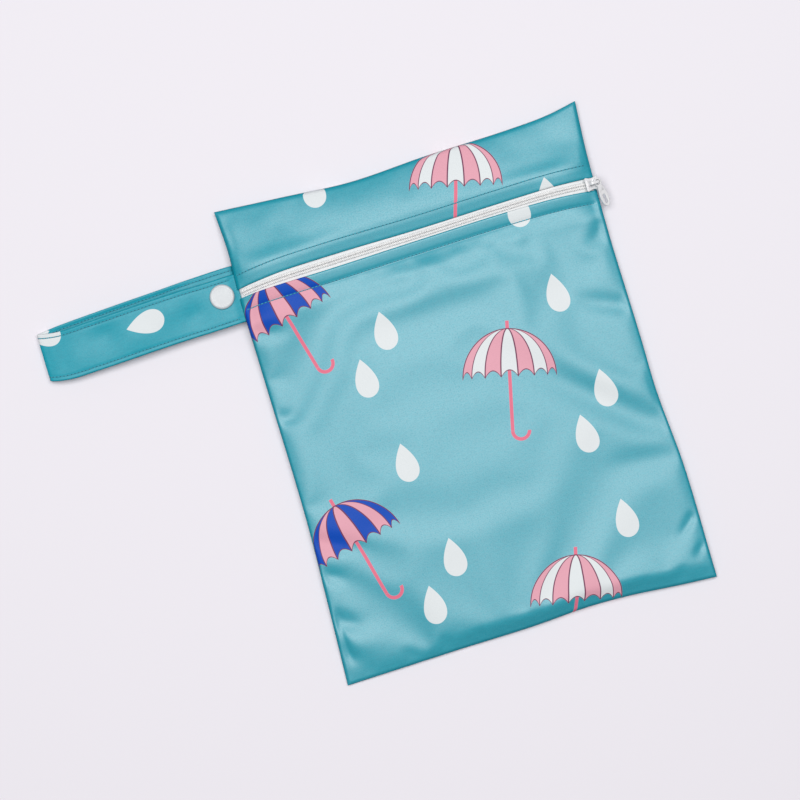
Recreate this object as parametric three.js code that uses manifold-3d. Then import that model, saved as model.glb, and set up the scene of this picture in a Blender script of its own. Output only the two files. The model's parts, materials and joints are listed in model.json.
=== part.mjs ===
// A small flat zip pouch of waterproof cloth, lying on its back with its wrist strap snapped into a loop.
// Millimetres, +Z up. The origin is the middle of the back panel's resting face.
// +X runs along the zip towards its closed end, and +Y runs from the bottom of the pouch to its top edge.
import * as THREE from "three";
import { mergeVertices } from "three/addons/utils/BufferGeometryUtils.js";
import Module from "manifold-3d";

const wasm = await Module();
wasm.setup();

// Driving dimensions
const WALL = 1.0; // cloth panels
const SEAT_GAP = 0.4; // clearance between sewn layers
const SEAM_HEIGHT = 1.6; // the side seam above the resting face
const SEAM_HALF_GAP = 0.2; // half the clearance between front and back along the seam
const SEAM_RISE = 14; // how far in from the edge the back panel reaches the floor
const WELT_WIDTH = 6.5; // folded cloth beside the zip, out to its row of stitches
const WELT_RAISE = 0.4;
const TAPE = { width: 11, thickness: 1.0, left: -90.5, right: 90.8, parting: 0.2, partedAtPost: 1.6 };
const COIL = { width: 1.85, height: 1.2, parting: 0.1, seat: 0.1, left: -90, right: 87.5 };
const STRAP = { width: 24.6, thickness: 1.3 };
const SNAP = { x: -101.7, y: 80.6, radius: 6.2, thickness: 1.4, post: 1.5, hole: 1.8, core: 3.6 };
const SNAP_SIDES = 20;
const SLIDER = { x: 90.2, length: 7.2, width: 7, waist: 0.82, corner: 0.9, plate: 1.0, plateTop: 3.1 };
const UNDER_PLATE = { length: 4, width: 5.6, thickness: 0.8, setBack: 1.7, clearance: 0.75 };
const POST = { length: 1.2, width: 1.6, x: 0.1 };
const FLANGE = { length: 5, thickness: 0.5, height: 1.6, y: 2.5, drop: 0.6 };
const BRIDGE = { width: 1.4, height: 3.3, tunnel: 2.4, legX: 2.3, leg: 1.2, span: 4.6, foot: 1.1, sunk: 0.3 };
const PULL = { turn: -75, droop: 4, bend: 8, thickness: 0.9, length: 15.4, width: 4.8 };
const EYE = { radius: 2.2, hole: 1.35, neckReach: 3.4, neckHalf: 1.3, neckAngle: 35 };

// Outline of the pouch seen from above: corners stand out and the sides pull in between them
const TOP_EDGE = [
  { x: -96, y: 122.8 },
  { x: -60, y: 120.3 },
  { x: -25, y: 117.8 },
  { x: 15, y: 119.5 },
  { x: 60, y: 120.4 },
  { x: 80, y: 121.8 },
  { x: 96, y: 125.0 },
];
const BOTTOM_EDGE = [
  { x: -98, y: -123.9 },
  { x: -35, y: -122.4 },
  { x: 0, y: -121.9 },
  { x: 30, y: -120.4 },
  { x: 50, y: -120.9 },
  { x: 75, y: -123.0 },
  { x: 96, y: -124.4 },
];
const LEFT_EDGE = [
  { y: -124, x: -97.3 },
  { y: -80, x: -95.2 },
  { y: -40, x: -93.6 },
  { y: 40, x: -93.7 },
  { y: 80, x: -93.5 },
  { y: 102, x: -92.7 },
  { y: 123, x: -93.8 },
];
const RIGHT_EDGE = [
  { y: -124, x: 95.6 },
  { y: -65, x: 95.7 },
  { y: -25, x: 93.2 },
  { y: 0, x: 93.3 },
  { y: 60, x: 92.8 },
  { y: 92, x: 93.2 },
  { y: 125, x: 95.4 },
];

// The slit that the zip shows in, between the front panel's edge and the header's edge
const ZIP_SLIT = [
  { x: -94, lower: 77.0, upper: 81.6 },
  { x: -85, lower: 77.8, upper: 82.9 },
  { x: -70, lower: 78.2, upper: 84.5 },
  { x: -45, lower: 78.6, upper: 85.4 },
  { x: 0, lower: 79.7, upper: 85.6 },
  { x: 45, lower: 80.5, upper: 86.4 },
  { x: 70, lower: 80.2, upper: 86.3 },
  { x: 94, lower: 78.4, upper: 85.0 },
];

// How far the front stands above the seam down the middle of the pouch
const CROWN = [
  { y: -125, height: 10.2 },
  { y: -60, height: 10.0 },
  { y: 0, height: 9.4 },
  { y: 50, height: 8.4 },
  { y: 82, height: 6.6 },
  { y: 100, height: 8.0 },
  { y: 125, height: 8.0 },
];
const SIDE_POWER = 6;
const END_POWER = 8;
const TOP_POWER = 16;
const ROLL = 0.75; // below 1 the cloth rolls off steeply at its edges
const PILLOW = { roll: 0.36, reach: 2.2 }; // a short roll at the side seams, then a gentle dome
const ZIP_ZONE = { from: 18, to: 34 }; // how far from the zip the front takes its pillow shape

// Places where the seam stands higher above the floor
const SEAM_LIFTS = [
  { x: -94, y: 80, lift: 3.6, reach: 34 },
  { x: 93, y: 82, lift: 2.2, reach: 24 },
  { x: -94, y: 122, lift: 0.6, reach: 16 },
  { x: 95, y: 124, lift: 1.2, reach: 18 },
  { x: -97, y: -124, lift: 0.5, reach: 16 },
  { x: 95, y: -124, lift: 0.4, reach: 16 },
];

// Stretches of the side seams that something is caught in, and how far each holds the cloth apart
const SEAM_CATCHES = [
  { side: -1, y: 77.7, reach: 19, opening: 1.15 },
  { side: 1, y: 82, reach: 14, opening: 0.5 },
];

// Folds in the front cloth, each from one place to another: a valley where depth is below 0, else a ridge
const FOLDS = [
  { fromX: 92, fromY: -46, toX: 22, toY: 16, width: 8, depth: -1.5 },
  { fromX: 92, fromY: -32, toX: 40, toY: 12, width: 8, depth: 0.8 },
  { fromX: 92, fromY: -60, toX: 44, toY: -54, width: 7, depth: -0.9 },
  { fromX: 92, fromY: 18, toX: 62, toY: 31, width: 5, depth: -1.2 },
  { fromX: 66, fromY: 33, toX: 40, toY: 41, width: 7, depth: -0.8 },
  { fromX: 92, fromY: 64, toX: 82, toY: 50, width: 4, depth: -1.0 },
  { fromX: 94, fromY: -80, toX: 82, toY: -108, width: 4, depth: -1.5 },
  { fromX: -93, fromY: 60, toX: -74, toY: 53, width: 4.5, depth: -1.1 },
  { fromX: -94, fromY: 15, toX: -78, toY: 11, width: 4, depth: -1.1 },
  { fromX: -94, fromY: -49, toX: -66, toY: -61, width: 4.5, depth: -1.6 },
  { fromX: -95, fromY: -66, toX: -80, toY: -73, width: 4, depth: -1.2 },
  { fromX: -96, fromY: -88, toX: -80, toY: -99, width: 4.5, depth: -1.5 },
  { fromX: -97, fromY: -104, toX: -86, toY: -116, width: 4, depth: -1.2 },
  { fromX: -90, fromY: 118, toX: -87, toY: 98, width: 3.5, depth: -0.8 },
  { fromX: 92, fromY: 116, toX: 88, toY: 98, width: 3.5, depth: -0.9 },
];
const FOLD_FADE = 5; // folds die out this close to a seam

// The strap's middle line, from its sewn end out to the fold and back under to its free end
const STRAP_ROUTE = [
  { x: -89.5, y: 77.7, z: 5.2 },
  { x: -93.2, y: 77.7, z: 5.2 },
  { x: -95.4, y: 77.7, z: 5.9 },
  { x: -97.6, y: 77.6, z: 6.6 },
  { x: -101.7, y: 77.5, z: 6.7 },
  { x: -108.5, y: 77.3, z: 6.7 },
  { x: -122.0, y: 77.1, z: 7.3 },
  { x: -138.0, y: 76.6, z: 7.6 },
  { x: -155.0, y: 75.9, z: 7.4 },
  { x: -172.0, y: 75.3, z: 6.6 },
  { x: -185.0, y: 75.1, z: 5.4 },
  { x: -193.0, y: 76.2, z: 4.1 },
  { x: -195.8, y: 77.0, z: 3.1 },
  { x: -195.8, y: 77.1, z: 1.8 },
  { x: -193.0, y: 77.5, z: 0.9 },
  { x: -185.0, y: 78.2, z: 0.8 },
  { x: -170.0, y: 79.1, z: 0.8 },
  { x: -150.0, y: 80.1, z: 0.8 },
  { x: -130.0, y: 81.0, z: 0.9 },
  { x: -115.0, y: 81.8, z: 1.6 },
  { x: -108.5, y: 82.0, z: 2.5 },
  { x: -101.7, y: 82.2, z: 2.5 },
  { x: -95.6, y: 82.3, z: 2.35 },
  { x: -93.2, y: 82.3, z: 1.75 },
];
const STRAP_STEPS = 2; // stations for each stretch of the route
const SNAP_HEIGHTS = { backCap: 0.1, coreLow: 3.5, coreHigh: 5.7, frontCap: 7.7 };

const GRID = { columns: 28, frontRows: 24, headerRows: 8, backColumns: 22, backRows: 26, tapeRows: 2 };

// Small helpers
const radians = THREE.MathUtils.degToRad;
const smoothstep = THREE.MathUtils.smoothstep;
const lerp = THREE.MathUtils.lerp;

// A smooth function through two columns of a table
function curveThrough(table, from, to) {
  const places = Float32Array.from(table, (row) => row[from]);
  const values = Float32Array.from(table, (row) => row[to]);
  const curve = new THREE.CubicInterpolant(places, values, 1, new Float32Array(1));
  return (place) => curve.evaluate(place)[0];
}

// Grid line i of count as a share of 0 to 1, with the lines drawn together towards both ends
function gridShare(i, count) {
  const share = (2 * i) / count - 1;
  return 0.5 + share * (0.675 - 0.175 * share * share);
}

const topEdge = curveThrough(TOP_EDGE, "x", "y");
const bottomEdge = curveThrough(BOTTOM_EDGE, "x", "y");
const leftEdge = curveThrough(LEFT_EDGE, "y", "x");
const rightEdge = curveThrough(RIGHT_EDGE, "y", "x");
const slitLower = curveThrough(ZIP_SLIT, "x", "lower");
const slitUpper = curveThrough(ZIP_SLIT, "x", "upper");
const crownHeight = curveThrough(CROWN, "y", "height");
const zipMiddle = (x) => (slitLower(x) + slitUpper(x)) / 2;

// The pouch's own coordinates at a place: -1 to 1 across and along, and the distances in from the edges
function within(x, y) {
  const left = leftEdge(y);
  const right = rightEdge(y);
  const bottom = bottomEdge(x);
  const top = topEdge(x);
  return {
    across: THREE.MathUtils.clamp((2 * x - left - right) / (right - left), -1, 1),
    along: THREE.MathUtils.clamp((2 * y - bottom - top) / (top - bottom), -1, 1),
    inset: Math.max(0, Math.min(x - left, right - x, y - bottom, top - y)),
    fromSide: Math.max(0, Math.min(x - left, right - x)),
  };
}

// Height of the seam's middle plane, carried over the whole outline
function seamHeight(x, y) {
  return SEAM_LIFTS.reduce((height, row) => {
    const distance = Math.hypot(x - row.x, y - row.y) / row.reach;
    return height + row.lift * Math.exp(-(distance ** 4));
  }, SEAM_HEIGHT);
}

// Half the space between front and back at the seam
function seamOpening(x, y) {
  return SEAM_CATCHES.reduce((gap, row) => {
    const onSide = smoothstep(row.side * x, 30, 80);
    return gap + onSide * row.opening * Math.exp(-(((y - row.y) / row.reach) ** 6));
  }, SEAM_HALF_GAP);
}

// Sum of the folds at a place: each is deepest near its start and dies out along its length
function foldDepth(x, y) {
  return FOLDS.reduce((depth, row) => {
    const runX = row.toX - row.fromX;
    const runY = row.toY - row.fromY;
    const length = Math.hypot(runX, runY);
    const share = ((x - row.fromX) * runX + (y - row.fromY) * runY) / length ** 2;
    const aside = ((y - row.fromY) * runX - (x - row.fromX) * runY) / length;
    const strength = smoothstep(share, -0.15, 0.2) * (1 - smoothstep(share, 0.4, 1.1));
    return depth + row.depth * strength * Math.exp(-((aside / row.width) ** 2));
  }, 0);
}

// Share of the crown that is left towards an edge, from 1 in the middle to 0 at the edge
const rolledOff = (share, power) => (1 - Math.abs(share) ** power) ** ROLL;

// Underside of the front cloth
function frontUnderside(x, y) {
  const { across, along, inset, fromSide } = within(x, y);
  const away = smoothstep(Math.abs(y - zipMiddle(x)), ZIP_ZONE.from, ZIP_ZONE.to);
  const seamRoll = PILLOW.roll * (1 - Math.exp(-fromSide / PILLOW.reach));
  const pillow = seamRoll + (1 - PILLOW.roll) * (1 - across * across);
  const sides = lerp(rolledOff(across, SIDE_POWER), pillow, away);
  const ends = rolledOff(along, along > 0 ? lerp(END_POWER, TOP_POWER, away) : END_POWER);
  const folds = foldDepth(x, y) * smoothstep(inset, 0, FOLD_FADE);
  return seamHeight(x, y) + seamOpening(x, y) + crownHeight(y) * sides * ends + folds;
}

// Upper side of the back cloth: flat on the floor, rising to the seam near the edge
function backUpside(x, y) {
  const { inset } = within(x, y);
  const atSeam = seamHeight(x, y) - seamOpening(x, y);
  return lerp(atSeam, WALL, smoothstep(inset, 0, SEAM_RISE));
}

// Unit normal of a height function
function normalOf(height, x, y) {
  const step = 0.5;
  const slopeX = (height(x + step, y) - height(x - step, y)) / (2 * step);
  const slopeY = (height(x, y + step) - height(x, y - step)) / (2 * step);
  return new THREE.Vector3(-slopeX, -slopeY, 1).normalize();
}

// Normal that stands upright at the outline, so that panel edges are flush there
function wallDirection(height, x, y) {
  const upright = new THREE.Vector3(0, 0, 1);
  return upright.lerp(normalOf(height, x, y), smoothstep(within(x, y).inset, 0, FOLD_FADE)).normalize();
}

// A closed wall from a grid of paired points: place(i, j) gives its upper and lower point
function clothWall(columns, rows, place) {
  const upper = [];
  const lower = [];
  for (let i = 0; i <= columns; i++) {
    for (let j = 0; j <= rows; j++) {
      const pair = place(i, j);
      upper.push(pair.upper);
      lower.push(pair.lower);
    }
  }
  const top = (i, j) => i * (rows + 1) + j;
  const under = (i, j) => upper.length + top(i, j);
  const index = [];
  const quad = (a, b, c, d) => index.push(a, b, c, a, c, d);
  for (let i = 0; i < columns; i++) {
    for (let j = 0; j < rows; j++) {
      quad(top(i, j), top(i + 1, j), top(i + 1, j + 1), top(i, j + 1));
      quad(under(i, j), under(i, j + 1), under(i + 1, j + 1), under(i + 1, j));
    }
    quad(under(i, 0), under(i + 1, 0), top(i + 1, 0), top(i, 0));
    quad(under(i + 1, rows), under(i, rows), top(i, rows), top(i + 1, rows));
  }
  for (let j = 0; j < rows; j++) {
    quad(under(0, j + 1), under(0, j), top(0, j), top(0, j + 1));
    quad(under(columns, j), under(columns, j + 1), top(columns, j + 1), top(columns, j));
  }
  return new THREE.BufferGeometry().setFromPoints([...upper, ...lower]).setIndex(index);
}

// A solid for cutting and joining, from any closed geometry
function solidFrom(geometry) {
  const bare = geometry.clone();
  bare.deleteAttribute("normal");
  bare.deleteAttribute("uv");
  const merged = mergeVertices(bare, 1e-4);
  return new wasm.Manifold(
    new wasm.Mesh({
      numProp: 3,
      vertProperties: new Float32Array(merged.attributes.position.array),
      triVerts: new Uint32Array(merged.index.array),
    }),
  );
}

// A geometry back from a solid
function geometryFrom(solid) {
  const mesh = solid.getMesh();
  return new THREE.BufferGeometry()
    .setAttribute("position", new THREE.BufferAttribute(new Float32Array(mesh.vertProperties), 3))
    .setIndex(new THREE.BufferAttribute(new Uint32Array(mesh.triVerts), 1));
}

const joined = (geometries) => geometryFrom(geometries.map(solidFrom).reduce((all, next) => all.add(next)));

// Cloth panels

// Front or header cloth between two edges that run across the pouch, with a welt beside the zip
function frontCloth(rows, lowEdge, highEdge, slitEdge) {
  return clothWall(GRID.columns, rows, (i, j) => {
    const across = gridShare(i, GRID.columns);
    const nearX = lerp(leftEdge(0), rightEdge(0), across);
    const y = lerp(lowEdge(nearX), highEdge(nearX), gridShare(j, rows));
    const x = lerp(leftEdge(y), rightEdge(y), across);
    const fromSlit = Math.abs(y - slitEdge(nearX));
    const welt = WELT_RAISE * (1 - smoothstep(fromSlit, WELT_WIDTH - 1, WELT_WIDTH + 1));
    const lower = new THREE.Vector3(x, y, frontUnderside(x, y));
    const upper = lower.clone().addScaledVector(wallDirection(frontUnderside, x, y), WALL + welt);
    return { upper, lower };
  });
}

function backCloth() {
  return clothWall(GRID.backColumns, GRID.backRows, (i, j) => {
    const across = gridShare(i, GRID.backColumns);
    const nearX = lerp(leftEdge(0), rightEdge(0), across);
    const y = lerp(bottomEdge(nearX), topEdge(nearX), gridShare(j, GRID.backRows));
    const x = lerp(leftEdge(y), rightEdge(y), across);
    const upper = new THREE.Vector3(x, y, backUpside(x, y));
    const lower = upper.clone().addScaledVector(wallDirection(backUpside, x, y), -WALL);
    lower.z = Math.max(lower.z, 0);
    return { upper, lower };
  });
}

// Zip

const tapeTop = (x, y) => frontUnderside(x, y) - SEAT_GAP;

// The two tapes lie edge to edge, and part round the slider's post at the closed end
const tapeParting = (x) => lerp(TAPE.parting, TAPE.partedAtPost, smoothstep(x, SLIDER.x - 3, SLIDER.x));

function zipTape(side) {
  return clothWall(GRID.columns, GRID.tapeRows, (i, j) => {
    const x = lerp(TAPE.left, TAPE.right, gridShare(i, GRID.columns));
    const share = side > 0 ? j / GRID.tapeRows : 1 - j / GRID.tapeRows;
    const y = zipMiddle(x) + side * lerp(tapeParting(x), TAPE.width, share);
    const upper = new THREE.Vector3(x, y, tapeTop(x, y));
    const lower = upper.clone().setZ(upper.z - TAPE.thickness);
    return { upper, lower };
  });
}

// One half of the closed nylon coil, as a rounded rib along its tape
function zipCoil(side) {
  const roundness = [0.35, 0.87, 1, 0.87, 0.35];
  const last = roundness.length - 1;
  return clothWall(GRID.columns, last, (i, j) => {
    const x = lerp(COIL.left, COIL.right, gridShare(i, GRID.columns));
    const share = side > 0 ? j / last : 1 - j / last;
    const y = zipMiddle(x) + side * (COIL.parting + share * COIL.width);
    const lower = new THREE.Vector3(x, y, frontUnderside(x, zipMiddle(x)) + COIL.seat);
    const upper = lower.clone().setZ(lower.z + COIL.height * roundness[j]);
    return { upper, lower };
  });
}

function extruded(shape, depth, curveSegments = 5) {
  return new THREE.ExtrudeGeometry(shape, { depth, bevelEnabled: false, curveSegments });
}

// Waisted outline of the slider's plates, nose towards +X
function platePlan(length, width) {
  const half = { x: length / 2, y: width / 2 };
  const pinch = (2 * SLIDER.waist - 1) * half.y;
  const { corner } = SLIDER;
  const shape = new THREE.Shape();
  shape.moveTo(-half.x + corner, -half.y);
  shape.quadraticCurveTo(0, -pinch, half.x - corner, -half.y);
  shape.quadraticCurveTo(half.x, -half.y, half.x, -half.y + corner);
  shape.lineTo(half.x, half.y - corner);
  shape.quadraticCurveTo(half.x, half.y, half.x - corner, half.y);
  shape.quadraticCurveTo(0, pinch, -half.x + corner, half.y);
  shape.quadraticCurveTo(-half.x, half.y, -half.x, half.y - corner);
  shape.lineTo(-half.x, -half.y + corner);
  shape.quadraticCurveTo(-half.x, -half.y, -half.x + corner, -half.y);
  return shape;
}

// Arched bridge over the top plate, seen from the side, with its open tunnel for the pull's eye
function bridgeProfile() {
  const { height, tunnel, legX, leg, span, foot, sunk } = BRIDGE;
  const rear = legX - span;
  const inside = rear + foot;
  const front = legX + leg / 2;
  const shape = new THREE.Shape();
  shape.moveTo(rear, -sunk);
  shape.lineTo(inside, -sunk);
  shape.lineTo(inside, 0.7 * tunnel);
  shape.quadraticCurveTo(inside, tunnel, inside + 0.3 * tunnel, tunnel);
  shape.lineTo(front - leg, tunnel);
  shape.lineTo(front - leg, -sunk);
  shape.lineTo(front, -sunk);
  shape.lineTo(front, 0.7 * height);
  shape.quadraticCurveTo(front, height, front - 0.3 * height, height);
  shape.lineTo(rear + 0.45 * height, height);
  shape.quadraticCurveTo(rear, height, rear, 0.5 * height);
  shape.lineTo(rear, -sunk);
  return shape;
}

function sliderBody() {
  const topPlate = extruded(platePlan(SLIDER.length, SLIDER.width), SLIDER.plate);
  topPlate.translate(0, 0, SLIDER.plateTop - SLIDER.plate);
  const underTop = -TAPE.thickness - UNDER_PLATE.clearance;
  const underPlate = extruded(platePlan(UNDER_PLATE.length, UNDER_PLATE.width), UNDER_PLATE.thickness);
  underPlate.translate(-UNDER_PLATE.setBack, 0, underTop - UNDER_PLATE.thickness);
  const postLow = underTop - UNDER_PLATE.thickness / 2;
  const postHigh = SLIDER.plateTop - SLIDER.plate / 2;
  const post = new THREE.BoxGeometry(POST.length, POST.width, postHigh - postLow);
  post.translate(POST.x, 0, (postHigh + postLow) / 2);
  const flanges = [-1, 1].map((side) => {
    const flange = new THREE.BoxGeometry(FLANGE.length, FLANGE.thickness, FLANGE.height);
    return flange.translate(0, side * FLANGE.y, SLIDER.plateTop - SLIDER.plate - FLANGE.drop);
  });
  const bridge = extruded(bridgeProfile(), BRIDGE.width);
  bridge.rotateX(Math.PI / 2);
  bridge.translate(0, BRIDGE.width / 2, SLIDER.plateTop);
  return joined([topPlate, underPlate, post, ...flanges, bridge]);
}

// The pull's eye and neck, flat, with the eye's centre at the origin and the neck towards +X
function eyePlan() {
  const shape = new THREE.Shape();
  shape.absarc(0, 0, EYE.radius, radians(EYE.neckAngle), radians(360 - EYE.neckAngle));
  shape.lineTo(EYE.neckReach, -EYE.neckHalf);
  shape.lineTo(EYE.neckReach, EYE.neckHalf);
  shape.closePath();
  const hole = new THREE.Path();
  hole.absarc(0, 0, EYE.hole, 0, 2 * Math.PI, true);
  shape.holes.push(hole);
  return shape;
}

// The pull's leaf-shaped blade, from the neck at 0 to its round tip
function bladePlan(length) {
  const half = PULL.width / 2;
  const widest = 0.55 * length;
  const shape = new THREE.Shape();
  shape.moveTo(0, -EYE.neckHalf);
  shape.bezierCurveTo(0.2 * length, -EYE.neckHalf, 0.25 * length, -half, widest, -half);
  shape.bezierCurveTo(0.8 * length, -half, length, -0.7 * half, length, 0);
  shape.bezierCurveTo(length, 0.7 * half, 0.8 * length, half, widest, half);
  shape.bezierCurveTo(0.25 * length, half, 0.2 * length, EYE.neckHalf, 0, EYE.neckHalf);
  return shape;
}

// The pull: its eye round the bridge's front leg, and its blade bent down from the neck
function pullTab() {
  const overlap = 0.3;
  const eye = extruded(eyePlan(), PULL.thickness, 12);
  eye.translate(0, 0, -PULL.thickness / 2);
  const blade = extruded(bladePlan(PULL.length - EYE.radius - EYE.neckReach + overlap), PULL.thickness);
  blade.translate(0, 0, -PULL.thickness / 2);
  blade.rotateY(radians(PULL.bend));
  blade.translate(EYE.neckReach - overlap, 0, 0);
  return joined([eye, blade]).rotateY(radians(PULL.droop));
}

// Strap and snap

// A flat band along the strap's route, its width always along Y
function strapBand() {
  const route = new THREE.CatmullRomCurve3(
    STRAP_ROUTE.map((row) => new THREE.Vector3(row.x, row.y, row.z)),
    false,
    "centripetal",
  );
  const stations = (STRAP_ROUTE.length - 1) * STRAP_STEPS;
  return clothWall(stations, 1, (i, j) => {
    const middle = route.getPoint(i / stations);
    const tangent = route.getTangent(i / stations).setY(0).normalize();
    const out = new THREE.Vector3(-tangent.z, 0, tangent.x).multiplyScalar(-STRAP.thickness / 2);
    const side = j === 0 ? STRAP.width / 2 : -STRAP.width / 2;
    middle.y += side;
    return { upper: middle.clone().add(out), lower: middle.clone().sub(out) };
  });
}

function wristStrap() {
  const drill = new THREE.CylinderGeometry(SNAP.hole, SNAP.hole, 20, SNAP_SIDES);
  drill.rotateX(Math.PI / 2);
  drill.translate(SNAP.x, SNAP.y, 0);
  return geometryFrom(solidFrom(strapBand()).subtract(solidFrom(drill)));
}

// A snap cap with its post, turned about +Z, its flat underside at 0 and its post below it
function snapCap() {
  const { radius, thickness, post } = SNAP;
  const postLength = STRAP.thickness + SEAT_GAP;
  const profile = [
    { r: 0, z: -postLength },
    { r: post, z: -postLength },
    { r: post, z: 0 },
    { r: 0.95 * radius, z: 0 },
    { r: radius, z: 0.25 * thickness },
    { r: 0.97 * radius, z: 0.57 * thickness },
    { r: 0.85 * radius, z: 0.8 * thickness },
    { r: 0.5 * radius, z: 0.94 * thickness },
    { r: 0, z: thickness },
  ].map((row) => new THREE.Vector2(row.r, row.z));
  return new THREE.LatheGeometry(profile, SNAP_SIDES).rotateX(Math.PI / 2);
}

// The socket and stud that hold the two strap layers together
function snapCore() {
  const height = SNAP_HEIGHTS.coreHigh - SNAP_HEIGHTS.coreLow;
  return new THREE.CylinderGeometry(SNAP.core, SNAP.core, height, SNAP_SIDES).rotateX(Math.PI / 2);
}

// Materials
const cloth = new THREE.MeshStandardMaterial({ color: "#5fb7c6", roughness: 0.55, metalness: 0 });
const tapeCloth = new THREE.MeshStandardMaterial({ color: "#e9ebea", roughness: 0.8, metalness: 0 });
const nylon = new THREE.MeshStandardMaterial({ color: "#eeeeec", roughness: 0.45, metalness: 0 });
const whiteEnamel = new THREE.MeshStandardMaterial({ color: "#e8e9ef", roughness: 0.3, metalness: 0.1 });
const snapPlastic = new THREE.MeshStandardMaterial({ color: "#e4e8ea", roughness: 0.3, metalness: 0 });

function piece(name, geometry, material) {
  const mesh = new THREE.Mesh(geometry, material);
  mesh.name = name;
  return mesh;
}

// Assembly
const pouch = new THREE.Group();
pouch.add(
  piece("back_panel", backCloth(), cloth),
  piece("front_panel", frontCloth(GRID.frontRows, bottomEdge, slitLower, slitLower), cloth),
  piece("header_panel", frontCloth(GRID.headerRows, slitUpper, topEdge, slitUpper), cloth),
  piece("zip_tape_lower", zipTape(-1), tapeCloth),
  piece("zip_tape_upper", zipTape(1), tapeCloth),
  piece("zip_coil_lower", zipCoil(-1), nylon),
  piece("zip_coil_upper", zipCoil(1), nylon),
  piece("wrist_strap", wristStrap(), cloth),
);

// The slider sits on the tape at the closed end, nose down along the zip
const zipAtSlider = (x) => tapeTop(x, zipMiddle(SLIDER.x));
const slider = new THREE.Group();
slider.position.set(SLIDER.x, zipMiddle(SLIDER.x), zipAtSlider(SLIDER.x));
slider.rotation.y = Math.atan2(zipAtSlider(SLIDER.x - 3) - zipAtSlider(SLIDER.x + 2), 5);
slider.add(piece("zip_slider", sliderBody(), whiteEnamel));
const pull = piece("zip_pull", pullTab(), whiteEnamel);
pull.position.set(BRIDGE.legX, 0, SLIDER.plateTop + BRIDGE.tunnel / 2);
pull.rotation.z = radians(PULL.turn);
slider.add(pull);

const snap = new THREE.Group();
snap.position.set(SNAP.x, SNAP.y, 0);
const frontCap = piece("snap_cap_front", snapCap(), snapPlastic);
frontCap.position.z = SNAP_HEIGHTS.frontCap;
const core = piece("snap_core", snapCore(), snapPlastic);
core.position.z = (SNAP_HEIGHTS.coreLow + SNAP_HEIGHTS.coreHigh) / 2;
const backCap = piece("snap_cap_back", snapCap(), snapPlastic);
backCap.rotation.x = Math.PI;
backCap.position.z = SNAP_HEIGHTS.backCap + SNAP.thickness;
snap.add(frontCap, core, backCap);

pouch.add(slider, snap);
export default pouch;
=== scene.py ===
"""A small zip pouch of waterproof satin cloth with a wrist strap, lying on its back.

Sizes are in millimetres in the pouch's own frame: +X along the zip towards its closed end,
+Y towards the top edge, +Z up from the surface that the pouch lies on.
"""

from __future__ import annotations

import json
import logging
import math
from dataclasses import dataclass, field
from enum import Enum
from typing import Callable, Sequence

import bpy
import numpy as np
from mathutils import Matrix, Vector

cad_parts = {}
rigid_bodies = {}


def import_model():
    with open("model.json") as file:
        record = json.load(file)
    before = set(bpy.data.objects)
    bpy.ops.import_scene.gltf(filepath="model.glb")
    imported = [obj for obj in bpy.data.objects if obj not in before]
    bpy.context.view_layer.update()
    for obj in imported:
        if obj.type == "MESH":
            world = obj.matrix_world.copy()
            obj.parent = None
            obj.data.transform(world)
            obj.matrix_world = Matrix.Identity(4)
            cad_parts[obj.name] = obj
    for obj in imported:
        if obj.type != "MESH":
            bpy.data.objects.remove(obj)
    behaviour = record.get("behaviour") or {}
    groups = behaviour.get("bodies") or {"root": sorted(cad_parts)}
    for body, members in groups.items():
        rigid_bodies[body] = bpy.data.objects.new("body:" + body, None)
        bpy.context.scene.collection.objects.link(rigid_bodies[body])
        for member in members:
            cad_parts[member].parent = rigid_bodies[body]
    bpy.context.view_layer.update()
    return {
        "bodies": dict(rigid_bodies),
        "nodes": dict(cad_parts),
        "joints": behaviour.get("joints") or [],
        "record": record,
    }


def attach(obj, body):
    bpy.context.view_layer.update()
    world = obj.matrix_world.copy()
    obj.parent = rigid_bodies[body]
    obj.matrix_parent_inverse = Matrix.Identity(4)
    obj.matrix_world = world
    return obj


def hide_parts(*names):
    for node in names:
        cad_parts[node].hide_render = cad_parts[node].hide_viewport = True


LOG = logging.getLogger("pouch")
MM = 0.001
BAG = "bag"
PULL = "pull"
CUT_MAP = "cut"

Array = np.ndarray
Colour = tuple[float, float, float]
Curve = Callable[[Array], Array]
Table = Sequence[tuple[float, float]]


class Side(Enum):
    """Which side of the zip a piece lies on, seen from above."""

    LOWER = -1
    UPPER = 1


class Hold(Enum):
    """How a sheet of cloth is held, in the frame's words."""

    LAID = "laid"
    STRETCHED = "stretched"
    FOLDED = "folded"


class SocketKind(Enum):
    """Kinds of socket that the shader groups take and give."""

    VALUE = "NodeSocketFloat"
    COLOUR = "NodeSocketColor"
    VECTOR = "NodeSocketVector"


# Small sums


def smoothstep(value: Array, low: float, high: float) -> Array:
    """Eases from 0 at low to 1 at high.

    Args:
        value: Numbers to ease.
        low: Where the result leaves 0.
        high: Where the result reaches 1.

    Returns:
        The eased numbers, the same shape as value.
    """
    share = np.clip((np.asarray(value, float) - low) / (high - low), 0.0, 1.0)
    return share * share * (3.0 - 2.0 * share)


def eased_rise(value: Array, start: float, end: float) -> Array:
    """Climbs evenly to start, then ever less, and lies level from end on.

    Args:
        value: Numbers from 0 up.
        start: Where the climb begins to ease.
        end: Where it is level.

    Returns:
        Heights from 0 to 1.
    """
    share = np.clip((value - start) / (end - start), 0, 1)
    height = np.minimum(value, start) + (end - start) * (share - share**3 + share**4 / 2)
    return height / ((start + end) / 2)


def lerp(start: Array, end: Array, share: Array) -> Array:
    """Mixes start and end by share."""
    return start + (end - start) * share


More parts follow.
